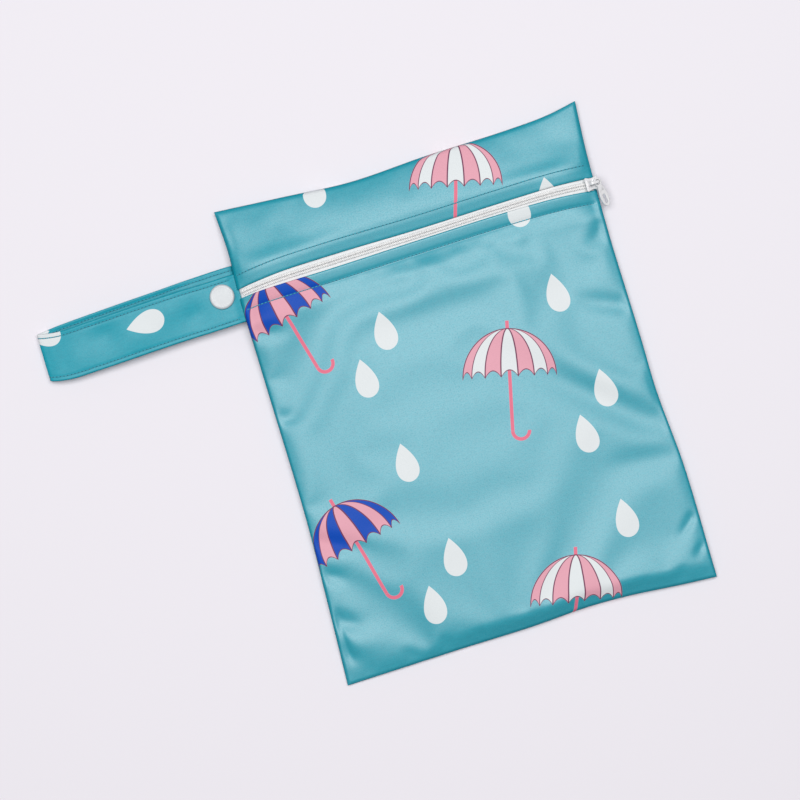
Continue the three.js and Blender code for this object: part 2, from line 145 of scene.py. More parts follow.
def curve_through(rows: Table) -> Curve:
    """Makes a smooth function through a table of two columns.

    Args:
        rows: Pairs of place and value, in rising order of place.

    Returns:
        A function from places to values, flat beyond the table's ends.
    """
    places, values = np.array(rows, float).T
    secants = np.diff(values) / np.diff(places)
    slopes = np.concatenate([secants[:1], (secants[1:] + secants[:-1]) / 2, secants[-1:]])

    def at(place: Array) -> Array:
        """Reads the curve.

        Args:
            place: Places to read it at.

        Returns:
            Its value at each place.
        """
        place = np.asarray(place, float)
        k = np.clip(np.searchsorted(places, place) - 1, 0, len(places) - 2)
        step = places[k + 1] - places[k]
        p = np.clip((place - places[k]) / step, 0.0, 1.0)
        start = values[k] * (1 + 2 * p) * (1 - p) ** 2 + values[k + 1] * p * p * (3 - 2 * p)
        return start + step * p * (1 - p) * (slopes[k] * (1 - p) - slopes[k + 1] * p)

    return at


def grid_normals(points: Array) -> Array:
    """Finds the upward unit normal at each point of a grid.

    Args:
        points: Grid of points, columns by rows by 3.

    Returns:
        Normals of the same shape.
    """
    across = np.gradient(points, axis=0)
    along = np.gradient(points, axis=1)
    normals = np.cross(across, along)
    return normals / np.maximum(np.linalg.norm(normals, axis=2, keepdims=True), 1e-12)


def cut_lengths(points: Array) -> Array:
    """Measures a grid along its own lines, as the flat cut that it was made from.

    Args:
        points: Grid of points, columns by rows by 3.

    Returns:
        Flat places, columns by rows by 2, in the points' unit, with 0, 0 at the middle.
    """
    step_u = np.linalg.norm(np.diff(points, axis=0), axis=2)
    step_v = np.linalg.norm(np.diff(points, axis=1), axis=2)
    u = np.concatenate([np.zeros((1, points.shape[1])), np.cumsum(step_u, axis=0)])
    v = np.concatenate([np.zeros((points.shape[0], 1)), np.cumsum(step_v, axis=1)], axis=1)
    return np.stack([u - u[-1:] / 2, v - v[:, -1:] / 2], axis=2)


def run_along(line: Array) -> Array:
    """Measures the distance along a line, from its first point to each of its points."""
    return np.concatenate([[0], np.cumsum(np.linalg.norm(np.diff(line, axis=0), axis=1))])


def drawn_to_ends(count: int) -> Array:
    """Spreads grid lines from 0 to 1, drawn together towards both ends.

    Args:
        count: Steps between the first line and the last.

    Returns:
        Places of the lines, count + 1 in all.
    """
    outward, draw = 0.68, 0.18
    share = np.linspace(-1, 1, count + 1)
    return 0.5 + share * (outward - draw * share * share)


def spline_grid(values: Array, u: Array, v: Array) -> Array:
    """Reads a grid smoothly, as a cubic spline that keeps to the grid's edges.

    Args:
        values: The grid, columns by rows by anything.
        u: Places across, in grid steps.
        v: Places along, in grid steps.

    Returns:
        The values at the places.
    """
    padded = np.pad(values, ((1, 2), (1, 2), (0, 0)), mode="reflect", reflect_type="odd")
    column, row = np.floor(u).astype(int), np.floor(v).astype(int)

    def weights(share: Array) -> list[Array]:
        """Weighs the four grid points round a place.

        Args:
            share: How far the place lies past the second point, in grid steps.

        Returns:
            The spline's weight for each of them.
        """
        return [
            (1 - share) ** 3 / 6,
            (3 * share**3 - 6 * share**2 + 4) / 6,
            (-3 * share**3 + 3 * share**2 + 3 * share + 1) / 6,
            share**3 / 6,
        ]

    total = np.zeros((*np.shape(u), values.shape[2]))
    for a, weight_u in enumerate(weights(u - column)):
        for b, weight_v in enumerate(weights(v - row)):
            total += (weight_u * weight_v)[..., None] * padded[column + a, row + b]
    return total


# Making meshes


def new_piece(name: str, mesh: bpy.types.Mesh, smooth: bool = True) -> bpy.types.Object:
    """Links a mesh into the scene as a piece.

    Args:
        name: The piece's name.
        mesh: Its mesh, in metres.
        smooth: Whether its faces are shaded smooth.

    Returns:
        The new object.
    """
    mesh.name = name
    mesh.validate()
    mesh.polygons.foreach_set("use_smooth", [smooth] * len(mesh.polygons))
    piece = bpy.data.objects.new(name, mesh)
    bpy.context.scene.collection.objects.link(piece)
    return piece


def mesh_from(points: Array, faces: Sequence[Sequence[int]]) -> bpy.types.Mesh:
    """Makes a mesh from points in millimetres and faces.

    Args:
        points: Vertices, count by 3.
        faces: Vertex numbers of each face, outward side first.

    Returns:
        The mesh, in metres.
    """
    mesh = bpy.data.meshes.new("mesh")
    mesh.from_pydata((np.asarray(points) * MM).tolist(), [], faces)
    return mesh


def lay_cut(mesh: bpy.types.Mesh, cut: Array) -> None:
    """Stores each vertex's place on the flat cut, in millimetres, as the map that the print follows.

    Args:
        mesh: The cloth's mesh.
        cut: Flat place of each vertex, count by 2.
    """
    corners = np.zeros(len(mesh.loops), dtype=np.int32)
    mesh.loops.foreach_get("vertex_index", corners)
    layer = mesh.uv_layers.new(name=CUT_MAP)
    layer.uv.foreach_set("vector", cut[corners].astype(np.float32).ravel())


def grid_faces(columns: int, rows: int, first: int = 0) -> Array:
    """Numbers the quads of a grid of points, counted row by row within each column.

    Args:
        columns: Points across.
        rows: Points along.
        first: Number of the grid's first point.

    Returns:
        Quads that face up where columns run to +X and rows to +Y.
    """
    at = first + np.arange(columns * rows).reshape(columns, rows)
    quads = np.stack([at[:-1, :-1], at[1:, :-1], at[1:, 1:], at[:-1, 1:]], axis=2)
    return quads.reshape(-1, 4)


def rim_faces(columns: int, rows: int) -> Array:
    """Numbers the quads that close two grids of points round their edge, the lower after the upper.

    Args:
        columns: Points across.
        rows: Points along.

    Returns:
        Quads that face away from the grids' middle.
    """
    at = np.arange(columns * rows).reshape(columns, rows)
    loop = np.concatenate([at[:-1, 0], at[-1, :-1], at[:0:-1, -1], at[0, :0:-1]])
    after = np.roll(loop, -1)
    below = columns * rows
    return np.stack([loop + below, after + below, after, loop], axis=1)


def cloth_shell(outer: Array, thickness: float, cut: Array) -> bpy.types.Mesh:
    """Makes a closed thin wall under a grid of points.

    Args:
        outer: The upper face, columns by rows by 3, in millimetres.
        thickness: The cloth's thickness.
        cut: Flat place of each grid point, columns by rows by 2.

    Returns:
        The mesh, with its cut laid.
    """
    columns, rows = outer.shape[:2]
    inner = outer - grid_normals(outer) * thickness
    points = np.concatenate([outer.reshape(-1, 3), inner.reshape(-1, 3)])
    upper = grid_faces(columns, rows)
    lower = grid_faces(columns, rows, columns * rows)[:, ::-1]
    faces = np.concatenate([upper, lower, rim_faces(columns, rows)])
    mesh = mesh_from(points, faces.tolist())
    lay_cut(mesh, np.concatenate([cut.reshape(-1, 2)] * 2))
    return mesh


def tubes(paths: Array, radii: Array, sides: int, aside: Vector) -> bpy.types.Mesh:
    """Makes round tubes along many paths of the same number of points, as one mesh.

    Args:
        paths: Points in millimetres, paths by points by 3.
        radii: Radius at each point along a path.
        sides: Sides of each tube.
        aside: A direction that no path runs along.

    Returns:
        The mesh, with each tube's ends closed.
    """
    count, length = paths.shape[:2]
    run = np.gradient(paths, axis=1)
    run /= np.maximum(np.linalg.norm(run, axis=2, keepdims=True), 1e-12)
    first = np.cross(run, np.array(aside))
    first /= np.maximum(np.linalg.norm(first, axis=2, keepdims=True), 1e-12)
    second = np.cross(run, first)
    turn = np.linspace(0, 2 * math.pi, sides, endpoint=False)
    ring = first[:, :, None] * np.cos(turn)[:, None] + second[:, :, None] * np.sin(turn)[:, None]
    points = paths[:, :, None] + ring * np.asarray(radii)[None, :, None, None]
    at = np.arange(count * length * sides).reshape(count, length, sides)
    after = np.roll(at, -1, axis=2)
    walls = np.stack([at[:, :-1], after[:, :-1], after[:, 1:], at[:, 1:]], axis=3).reshape(-1, 4)
    ends = [*at[:, 0, ::-1].tolist(), *at[:, -1].tolist()]
    return mesh_from(points.reshape(-1, 3), walls.tolist() + ends)


def turned(profile: Sequence[tuple[float, float]], sides: int) -> bpy.types.Mesh:
    """Turns a profile about +Z.

    Args:
        profile: Radius and height from the bottom of the axis round to its top, in millimetres.
        sides: Sides of the turned form.

    Returns:
        The closed mesh.
    """
    inner = [row for row in profile if row[0] > 0]
    turn = np.linspace(0, 2 * math.pi, sides, endpoint=False)
    rings = [np.stack([r * np.cos(turn), r * np.sin(turn), np.full(sides, z)], axis=1) for r, z in inner]
    tips = np.array([[0, 0, profile[0][1]], [0, 0, profile[-1][1]]])
    points = np.concatenate([*rings, tips])
    at = np.arange(len(inner) * sides).reshape(len(inner), sides)
    after = np.roll(at, -1, axis=1)
    walls = np.stack([at[:-1], after[:-1], after[1:], at[1:]], axis=2).reshape(-1, 4).tolist()
    low, high = len(points) - 2, len(points) - 1
    walls += [[low, int(b), int(a)] for a, b in zip(at[0], after[0])]
    walls += [[high, int(a), int(b)] for a, b in zip(at[-1], after[-1])]
    return mesh_from(points, walls)


def plate(outlines: Sequence[Array], thickness: float, bevel: float) -> bpy.types.Mesh:
    """Cuts a flat plate with rounded edges, its middle plane at height 0.

    Args:
        outlines: The outer outline and any holes, each count by 2, in millimetres.
        thickness: The plate's thickness.
        bevel: Radius of its rounded edges.

    Returns:
        The mesh, in metres.
    """
    curve = bpy.data.curves.new("outline", "CURVE")
    curve.dimensions = "2D"
    curve.fill_mode = "BOTH"
    curve.extrude = (thickness / 2 - bevel) * MM
    curve.bevel_depth = bevel * MM
    curve.bevel_resolution = 2
    curve.offset = -bevel * MM
    for outline in outlines:
        spline = curve.splines.new("POLY")
        spline.points.add(len(outline) - 1)
        spline.use_cyclic_u = True
        for point, (x, y) in zip(spline.points, outline):
            point.co = (x * MM, y * MM, 0.0, 1.0)
    holder = bpy.data.objects.new("outline", curve)
    bpy.context.scene.collection.objects.link(holder)
    shown = holder.evaluated_get(bpy.context.evaluated_depsgraph_get())
    mesh = bpy.data.meshes.new_from_object(shown)
    bpy.data.objects.remove(holder)
    bpy.data.curves.remove(curve)
    return mesh


def arc(centre: tuple[float, float], radius: float, start: float, end: float, steps: int = 12) -> Array:
    """Points along an arc, with its angles in degrees.

    Args:
        centre: The arc's centre.
        radius: Its radius.
        start: Angle of its first point.
        end: Angle of its last point.
        steps: Steps between them.

    Returns:
        Points, steps + 1 by 2.
    """
    turn = np.radians(np.linspace(start, end, steps + 1))
    return np.stack([centre[0] + radius * np.cos(turn), centre[1] + radius * np.sin(turn)], axis=1)


def bend(*controls: tuple[float, float], steps: int = 10) -> Array:
    """Points along a Bezier curve with any number of control points.

    Args:
        *controls: The curve's control points.
        steps: Steps along it.

    Returns:
        Points, steps + 1 by 2.
    """
    points = np.repeat(np.array(controls, float)[None], steps + 1, axis=0)
    share = np.linspace(0, 1, steps + 1)[:, None, None]
    while points.shape[1] > 1:
        points = lerp(points[:, :-1], points[:, 1:], share)
    return points[:, 0]


def oblong(low: tuple[float, float], high: tuple[float, float]) -> Array:
    """Gives the corners of a rectangle, from its lowest one round to the left."""
    return np.array([low, (high[0], low[1]), high, (low[0], high[1])], float)


def joined(name: str, meshes: Sequence[bpy.types.Mesh]) -> bpy.types.Object:
    """Joins closed meshes into one body.

    Args:
        name: The piece's name.
        meshes: Closed meshes that overlap.

    Returns:
        The piece.
    """
    piece = new_piece(name, meshes[0])
    for mesh in meshes[1:]:
        other = bpy.data.objects.new("part", mesh)
        bpy.context.scene.collection.objects.link(other)
        union = piece.modifiers.new("union", "BOOLEAN")
        union.operation = "UNION"
        union.solver = "EXACT"
        union.object = other
        shown = piece.evaluated_get(bpy.context.evaluated_depsgraph_get())
        whole = bpy.data.meshes.new_from_object(shown)
        piece.modifiers.clear()
        old = piece.data
        piece.data = whole
        whole.name = name
        bpy.data.objects.remove(other)
        bpy.data.meshes.remove(mesh)
        bpy.data.meshes.remove(old)
    return piece


# Shader building


class Field:
    """A number over the surface: the socket that gives it, with arithmetic on it."""

    def __init__(self, tree: bpy.types.NodeTree, socket: bpy.types.NodeSocket) -> None:
        """Holds a socket of a tree.

        Args:
            tree: The node tree that the socket belongs to.
            socket: An output socket that gives a number.
        """
        self.tree = tree
        self.socket = socket

    def math(self, operation: str, *others: Field | float) -> Field:
        """Adds a math node with this number as its first input.

        Args:
            operation: The node's operation.
            *others: Its other inputs.

        Returns:
            The node's result.
        """
        node = self.tree.nodes.new("ShaderNodeMath")
        node.operation = operation
        self.tree.links.new(self.socket, node.inputs[0])
        for place, other in enumerate(others, start=1):
            if isinstance(other, Field):
                self.tree.links.new(other.socket, node.inputs[place])
            else:
                node.inputs[place].default_value = other
        return Field(self.tree, node.outputs[0])

    def __add__(self, other: Field | float) -> Field:
        """Adds."""
        return self.math("ADD", other)

    def __sub__(self, other: Field | float) -> Field:
        """Subtracts."""
        return self.math("SUBTRACT", other)

    def __mul__(self, other: Field | float) -> Field:
        """Multiplies."""
        return self.math("MULTIPLY", other)

    def __truediv__(self, other: Field | float) -> Field:
        """Divides."""
        return self.math("DIVIDE", other)

    def __neg__(self) -> Field:
        """Turns the sign."""
        return self.math("MULTIPLY", -1.0)

    def abs(self) -> Field:
        """Drops the sign."""
        return self.math("ABSOLUTE")

    def floor(self) -> Field:
        """Rounds down."""
        return self.math("FLOOR")

    def fract(self) -> Field:
        """Keeps what is past the whole number."""
        return self.math("FRACT")

    def odd(self) -> Field:
        """Gives 1 where a whole number is odd and 0 where it is even."""
        return (self / 2.0).fract().between(0.2, 0.3)

    def root(self) -> Field:
        """Takes the square root of what is above 0."""
        return self.math("MAXIMUM", 0.0).math("SQRT")

    def least(self, other: Field | float) -> Field:
        """Takes the lesser of two."""
        return self.math("MINIMUM", other)

    def most(self, other: Field | float) -> Field:
        """Takes the greater of two."""
        return self.math("MAXIMUM", other)

    def between(self, low: float, high: float) -> Field:
        """Eases from 0 at low to 1 at high.

        Args:
            low: Where the result leaves 0.
            high: Where it reaches 1.

        Returns:
            The eased number.
        """
        node = self.tree.nodes.new("ShaderNodeMapRange")
        node.interpolation_type = "SMOOTHSTEP"
        self.tree.links.new(self.socket, node.inputs["Value"])
        node.inputs["From Min"].default_value = low
        node.inputs["From Max"].default_value = high
        return Field(self.tree, node.outputs["Result"])

    def inside(self, edge: float) -> Field:
        """Turns a distance, below 0 inside a form, into a mask with an edge of the given width."""
        return (-self).between(-edge / 2, edge / 2)


def socket_of(value: Field | bpy.types.NodeSocket) -> bpy.types.NodeSocket:
    """Gives the socket of a number, or a socket as it is."""
    return value.socket if isinstance(value, Field) else value


class Board:
    """A node tree and short ways to put nodes on it."""

    def __init__(self, tree: bpy.types.NodeTree) -> None:
        """Holds the tree that nodes go on."""
        self.tree = tree

    def add(self, kind: str, **settings: object) -> bpy.types.Node:
        """Adds a node.

        Args:
            kind: The node's type.
            **settings: Properties of the node.

        Returns:
            The node.
        """
        node = self.tree.nodes.new(kind)
        for name, value in settings.items():
            setattr(node, name, value)
        return node

    def link(self, output: bpy.types.NodeSocket, socket: bpy.types.NodeSocket) -> None:
        """Joins an output to an input."""
        self.tree.links.new(output, socket)

    def field(self, socket: bpy.types.NodeSocket) -> Field:
        """Takes a socket as a number that sums can be done on."""
        return Field(self.tree, socket)

    def split(self, vector: bpy.types.NodeSocket) -> tuple[Field, Field]:
        """Takes a vector apart.

        Args:
            vector: The socket that gives the vector.

        Returns:
            Its first two numbers.
        """
        node = self.add("ShaderNodeSeparateXYZ")
        self.link(vector, node.inputs[0])
        return self.field(node.outputs[0]), self.field(node.outputs[1])

    def vector(self, x: Field, y: Field) -> bpy.types.NodeSocket:
        """Puts two numbers together as a flat vector.

        Args:
            x: Its first number.
            y: Its second number.

        Returns:
            The socket that gives the vector.
        """
        node = self.add("ShaderNodeCombineXYZ")
        self.link(x.socket, node.inputs[0])
        self.link(y.socket, node.inputs[1])
        return node.outputs[0]

    def mix(self, share: Field, below: object, above: object) -> bpy.types.NodeSocket:
        """Lays one colour over another.

        Args:
            share: How much of the upper colour shows.
            below: A colour, or the socket that gives it.
            above: A colour, or the socket that gives it.

        Returns:
            The mixed colour's socket.
        """
        node = self.add("ShaderNodeMix", data_type="RGBA")
        self.link(share.socket, node.inputs[0])
        for socket, colour in ((node.inputs[6], below), (node.inputs[7], above)):
            if isinstance(colour, bpy.types.NodeSocket):
                self.link(colour, socket)
            else:
                socket.default_value = (*colour, 1.0)
        return node.outputs[2]

    def noise(self, place: bpy.types.NodeSocket, stretch: Colour, detail: float = 2.0) -> Field:
        """Adds noise, stretched differently along each axis.

        Args:
            place: The socket that gives the place.
            stretch: How often the noise repeats along each axis, for each unit of place.
            detail: Finer layers of the noise.

        Returns:
            The noise, about 0.5 on average.
        """
        scale = self.add("ShaderNodeVectorMath", operation="MULTIPLY")
        self.link(place, scale.inputs[0])
        scale.inputs[1].default_value = stretch
        node = self.add("ShaderNodeTexNoise")
        self.link(scale.outputs[0], node.inputs["Vector"])
        node.inputs["Scale"].default_value = 1.0
        node.inputs["Detail"].default_value = detail
        return self.field(node.outputs["Fac"])


class EffectGroup(Board):
    """A shader group that several materials share."""

    def __init__(self, name: str, inputs: dict[str, SocketKind], outputs: dict[str, SocketKind]) -> None:
        """Makes an empty group with its sockets.

        Args:
            name: The group's name.
            inputs: Kind of each input socket by name.
            outputs: Kind of each output socket by name.
        """
        tree = bpy.data.node_groups.new(name, "ShaderNodeTree")
        for way, sockets in (("INPUT", inputs), ("OUTPUT", outputs)):
            for label, kind in sockets.items():
                tree.interface.new_socket(name=label, in_out=way, socket_type=kind.value)
        super().__init__(tree)
        self.given = self.add("NodeGroupInput").outputs
        self.result = self.add("NodeGroupOutput").inputs

    def give(self, label: str, value: Field | bpy.types.NodeSocket) -> None:
        """Sends a value to an output socket of the group."""
        self.link(socket_of(value), self.result[label])


class Finish(Board):
    """A material under construction, with its Principled shader at hand."""

    def __init__(self, name: str) -> None:
        """Makes a material with a plain Principled shader.

        Args:
            name: The material's name.
        """
        self.material = bpy.data.materials.new(name)
        self.material.use_nodes = True
        super().__init__(self.material.node_tree)
        self.shader = self.tree.nodes["Principled BSDF"]

    def set(self, **values: object) -> None:
        """Sets sockets of the shader, named with _ for a space."""
        for name, value in values.items():
            self.shader.inputs[name.replace("_", " ")].default_value = value

    def feed(self, name: str, value: Field | bpy.types.NodeSocket) -> None:
        """Links a value to a socket of the shader."""
        self.link(socket_of(value), self.shader.inputs[name])

    def group(self, effect: EffectGroup, **links: bpy.types.NodeSocket) -> bpy.types.Node:
        """Places a shared group.

        Args:
            effect: The group.
            **links: What feeds its inputs, by name.

        Returns:
            The group's node.
        """
        node = self.add("ShaderNodeGroup", node_tree=effect.tree)
        for name, socket in links.items():
            self.link(socket, node.inputs[name])
        return node

    def cut(self) -> bpy.types.NodeSocket:
        """Gives the place on the flat cut, in millimetres."""
        return self.add("ShaderNodeUVMap", uv_map=CUT_MAP).outputs["UV"]

    def place(self) -> bpy.types.NodeSocket:
        """Gives the place on the piece, in metres."""
        return self.add("ShaderNodeTexCoord").outputs["Object"]

    def bump(self, height: Field | bpy.types.NodeSocket, strength: float, depth: float) -> None:
        """Raises the surface by a height.

        Args:
            height: Height from 0 to 1.
            strength: How strongly it shows.
            depth: Depth in metres that 1 stands for.
        """
        node = self.add("ShaderNodeBump")
        self.link(socket_of(height), node.inputs["Height"])
        node.inputs["Strength"].default_value = strength
        node.inputs["Distance"].default_value = depth
        self.link(node.outputs["Normal"], self.shader.inputs["Normal"])


# Shared effects


def satin_weave() -> EffectGroup:
    """Makes the satin weave: fine threads across, with a speckle of floats and soft streaks.

    Returns:
        The group, from Cut in millimetres to Height, Speckle and Streak.
    """
    group = EffectGroup(
        "satin_weave",
        {"Cut": SocketKind.VECTOR},
        {"Height": SocketKind.VALUE, "Speckle": SocketKind.VALUE, "Streak": SocketKind.VALUE},
    )
    thread_pitch, thread_height, wander_width = 0.34, 0.06, 1.2
    wander_rate, speckle_rate, streak_rate = (0.25, 0.25, 1.0), (1.3, 2.1, 1.0), (0.3, 0.9, 1.0)
    cut = group.given["Cut"]
    along = group.split(cut)[1]
    wander = group.noise(cut, wander_rate) * wander_width
    thread = (((along + wander) / thread_pitch) * (2 * math.pi)).math("SINE") * thread_height
    speckle = group.noise(cut, speckle_rate)
    group.give("Height", thread + speckle)
    group.give("Speckle", speckle)
    group.give("Streak", group.noise(cut, streak_rate, detail=4.0))
    return group


def fine_grain() -> EffectGroup:
    """Makes fine uneven grain for moulded, enamelled and drawn surfaces.

    Returns:
        The group, from Place in metres to Grain and Cloud.
    """
    group = EffectGroup(
        "fine_grain",
        {"Place": SocketKind.VECTOR},
        {"Grain": SocketKind.VALUE, "Cloud": SocketKind.VALUE},
    )
    grain_rate, cloud_rate = 2600.0, 260.0
    place = group.given["Place"]
    group.give("Grain", group.noise(place, (grain_rate,) * 3))
    group.give("Cloud", group.noise(place, (cloud_rate,) * 3, detail=3.0))
    return group


def raindrop() -> EffectGroup:
    """Makes one printed raindrop, round below and pointed above.

    Returns:
        The group, from Place in millimetres, with its drop at 0, 0, to Mask.
    """
    group = EffectGroup("raindrop", {"Place": SocketKind.VECTOR}, {"Mask": SocketKind.VALUE})
    height, width, fullness, edge = 20.0, 12.0, 1.3, 0.25
    x, y = group.split(group.given["Place"])
    up = (y / height + 0.5).most(0.0).least(1.0)
    half = up.root() * (up * -1.0 + 1.0) * (width * fullness)
    group.give("Mask", (x.abs() - half + edge).inside(edge))
    return group


def umbrella() -> EffectGroup:
    """Makes one printed umbrella with gores in two colours, a shaft and a hooked handle.

    Returns:
        The group, from Place in millimetres, with the canopy's hem at 0, 0, to Color and Mask.
    """
    group = EffectGroup(
        "umbrella",
        {
            "Place": SocketKind.VECTOR,
            "First": SocketKind.COLOUR,
            "Second": SocketKind.COLOUR,
            "Wood": SocketKind.COLOUR,
            "Line": SocketKind.COLOUR,
        },
        {"Color": SocketKind.COLOUR, "Mask": SocketKind.VALUE},
    )
    half, rise, gores, scallop, wrap = 23.5, 24.0, 7.0, 3.4, 0.93
    shaft, drop, hook, ferrule, tuck, line, edge = 0.9, 27.0, 4.2, 4.0, 1.0, 0.26, 0.22
    x, y = group.split(group.given["Place"])
    level = (y / rise) * (y / rise)
    spread = (level * -1.0 + 1.0).root()
    turn = (x / (spread * half).most(0.01)).most(-1.0).least(1.0) * wrap
    gore = (turn.math("ARCSINE") / (2 * math.asin(wrap)) + 0.5) * gores
    bow = gore.fract() * 2.0 - 1.0
    hem = (bow * bow * -1.0 + 1.0) * scallop
    dome = (((x / half) * (x / half) + level).root() - 1.0) * rise
    canopy = dome.most(hem - y)
    ribs = (bow.abs() - 1.0) * (spread * (half / gores)) + line
    stick = (x.abs() - shaft).most(y - hem - tuck).most(-y - drop)
    from_hook = ((x - hook) * (x - hook) + (y + drop) * (y + drop)).root()
    crook = ((from_hook - hook).abs() - shaft).most(y + drop)
    spike = (x.abs() - shaft).most(y - rise - ferrule).most(-y + rise - tuck)
    wood = stick.least(crook).least(spike)
    outline = (canopy.abs() - line).least((ribs * -1.0).most(canopy))
    colour = group.mix(gore.floor().odd(), group.given["First"], group.given["Second"])
    colour = group.mix(canopy.inside(edge), group.given["Wood"], colour)
    colour = group.mix(outline.inside(edge), colour, group.given["Line"])
    group.give("Color", colour)
    group.give("Mask", canopy.least(wood).least(canopy - line).inside(edge))
    return group


@dataclass(frozen=True)
class Palette:
    """Printing inks, as linear colours."""

    white: Colour = (0.72, 0.76, 0.78)
    pink: Colour = (0.74, 0.36, 0.44)
    coral: Colour = (0.76, 0.17, 0.26)
    blue: Colour = (0.003, 0.07, 0.46)
    line: Colour = (0.16, 0.035, 0.09)


@dataclass(frozen=True)
class RainyPrint:
    """A half-drop repeat of umbrellas and raindrops."""

    inks: Palette = Palette()
    pitch: tuple[float, float] = (97.0, 118.0)
    tilt: float = 14.0
    umbrella_at: tuple[float, float] = (-4.0, -4.0)
    drops: tuple[tuple[float, float], ...] = ((31.0, 30.0), (24.0, -42.0), (40.0, -22.0))

    def group(self) -> EffectGroup:
        """Builds the print.

        Returns:
            The group, from Cut in millimetres to Color and Ink.
        """
        group = EffectGroup(
            "rainy_print",
            {"Cut": SocketKind.VECTOR},
            {"Color": SocketKind.COLOUR, "Ink": SocketKind.VALUE},
        )
        drop_group, umbrella_group = raindrop(), umbrella()
        x, y = group.split(group.given["Cut"])
        odd = (x / self.pitch[0]).floor().odd()
        local_x = ((x / self.pitch[0]).fract() - 0.5) * self.pitch[0]
        local_y = ((y / self.pitch[1] + odd * 0.5).fract() - 0.5) * self.pitch[1]
        lean = (odd * 2.0 - 1.0) * math.radians(self.tilt)
        sway, upright = lean.math("SINE"), lean.math("COSINE")
        from_x = local_x - self.umbrella_at[0]
        from_y = local_y - self.umbrella_at[1]
        shade = group.add("ShaderNodeGroup", node_tree=umbrella_group.tree)
        turned_x = from_x * upright + from_y * sway
        turned_y = from_y * upright - from_x * sway
        group.link(group.vector(turned_x, turned_y), shade.inputs["Place"])
        inks = self.inks
        group.link(group.mix(odd, inks.pink, inks.blue), shade.inputs["First"])
        group.link(group.mix(odd, inks.white, inks.pink), shade.inputs["Second"])
        shade.inputs["Wood"].default_value = (*inks.coral, 1.0)
        shade.inputs["Line"].default_value = (*inks.line, 1.0)
        wet = None
        for at_x, at_y in self.drops:
            drop = group.add("ShaderNodeGroup", node_tree=drop_group.tree)
            group.link(group.vector(local_x - at_x, local_y - at_y), drop.inputs["Place"])
            mask = group.field(drop.outputs["Mask"])
            wet = mask if wet is None else wet.most(mask)
        covered = group.field(shade.outputs["Mask"])
        group.give("Color", group.mix(covered, inks.white, shade.outputs["Color"]))
        group.give("Ink", wet.most(covered))
        return group


# Finishes


@dataclass(frozen=True)
class SatinCloth:
    """Printed satin with a waterproof backing."""

    name: str
    ground: Colour
    deep: Colour
    offset: tuple[float, float]
    turn: float = 0.0
    gloss: float = 0.95
    roughness: float = 0.46
    matt: float = 0.6
    streaky: float = 0.15
    streak_range: tuple[float, float] = (0.25, 0.75)
    shine: float = 0.2
    speckled: float = 1.6
    ink_dulls: float = 0.9
    slant: tuple[float, float] = (0.15, 0.55)
    slant_dulls: float = 0.92

    def material(self, weave: EffectGroup, motif: EffectGroup) -> bpy.types.Material:
        """Builds the material.

        Args:
            weave: The satin weave group.
            motif: The print group.

        Returns:
            The material.
        """
        finish = Finish(self.name)
        cut = finish.cut()
        moved = finish.add("ShaderNodeMapping")
        finish.link(cut, moved.inputs["Vector"])
        moved.inputs["Location"].default_value = (*self.offset, 0.0)
        moved.inputs["Rotation"].default_value = (0.0, 0.0, math.radians(self.turn))
        woven = finish.group(weave, Cut=cut)
        printed = finish.group(motif, Cut=moved.outputs["Vector"])
        streak = finish.field(woven.outputs["Streak"])
        ground = finish.mix(streak.between(*self.streak_range), self.deep, self.ground)
        ink = finish.field(printed.outputs["Ink"])
        finish.feed("Base Color", finish.mix(ink, ground, printed.outputs["Color"]))
        finish.feed("Roughness", streak * self.streaky + self.matt)
        speckle = finish.field(woven.outputs["Speckle"])
        aslant = finish.field(finish.add("ShaderNodeLayerWeight").outputs["Facing"])
        bare = ink * -self.ink_dulls + 1.0
        facing = aslant.between(*self.slant) * -self.slant_dulls + 1.0
        sheen = (speckle * self.speckled + self.shine) * bare * facing
        finish.feed("Coat Weight", (sheen * self.gloss).least(1.0))
        finish.set(Specular_IOR_Level=0.06, Coat_Roughness=self.roughness, Coat_IOR=1.98)
        finish.bump(woven.outputs["Height"], strength=0.6, depth=0.00025)
        return finish.material


@dataclass(frozen=True)
class WovenTape:
    """White zip tape with a fine cross weave."""

    name: str = "zip_tape_weave"
    light: Colour = (0.84, 0.85, 0.86)
    dark: Colour = (0.74, 0.75, 0.77)
    rib: float = 0.55
    zigzag_width: float = 6.0
    zigzag_reach: float = 4.0
    twill_share: float = 0.7
    yarn_share: float = 0.6

    def material(self) -> bpy.types.Material:
        """Builds the material.

        Returns:
            The material.
        """
        finish = Finish(self.name)
        cut = finish.cut()
        x, y = finish.split(cut)
        zigzag = ((y / (self.zigzag_width * self.rib)).fract() - 0.5).abs() * (self.zigzag_reach * self.rib)
        twill = ((x + zigzag) / self.rib * (2 * math.pi)).math("SINE") * 0.5 + 0.5
        yarn = finish.noise(cut, (2.2, 2.2, 1.0))
        height = twill * self.twill_share + yarn * self.yarn_share
        finish.feed("Base Color", finish.mix(height.between(0.2, 0.9), self.dark, self.light))
        finish.set(Roughness=0.85, Specular_IOR_Level=0.3, Sheen_Weight=0.2)
        finish.bump(height, strength=0.5, depth=0.0002)
        return finish.material


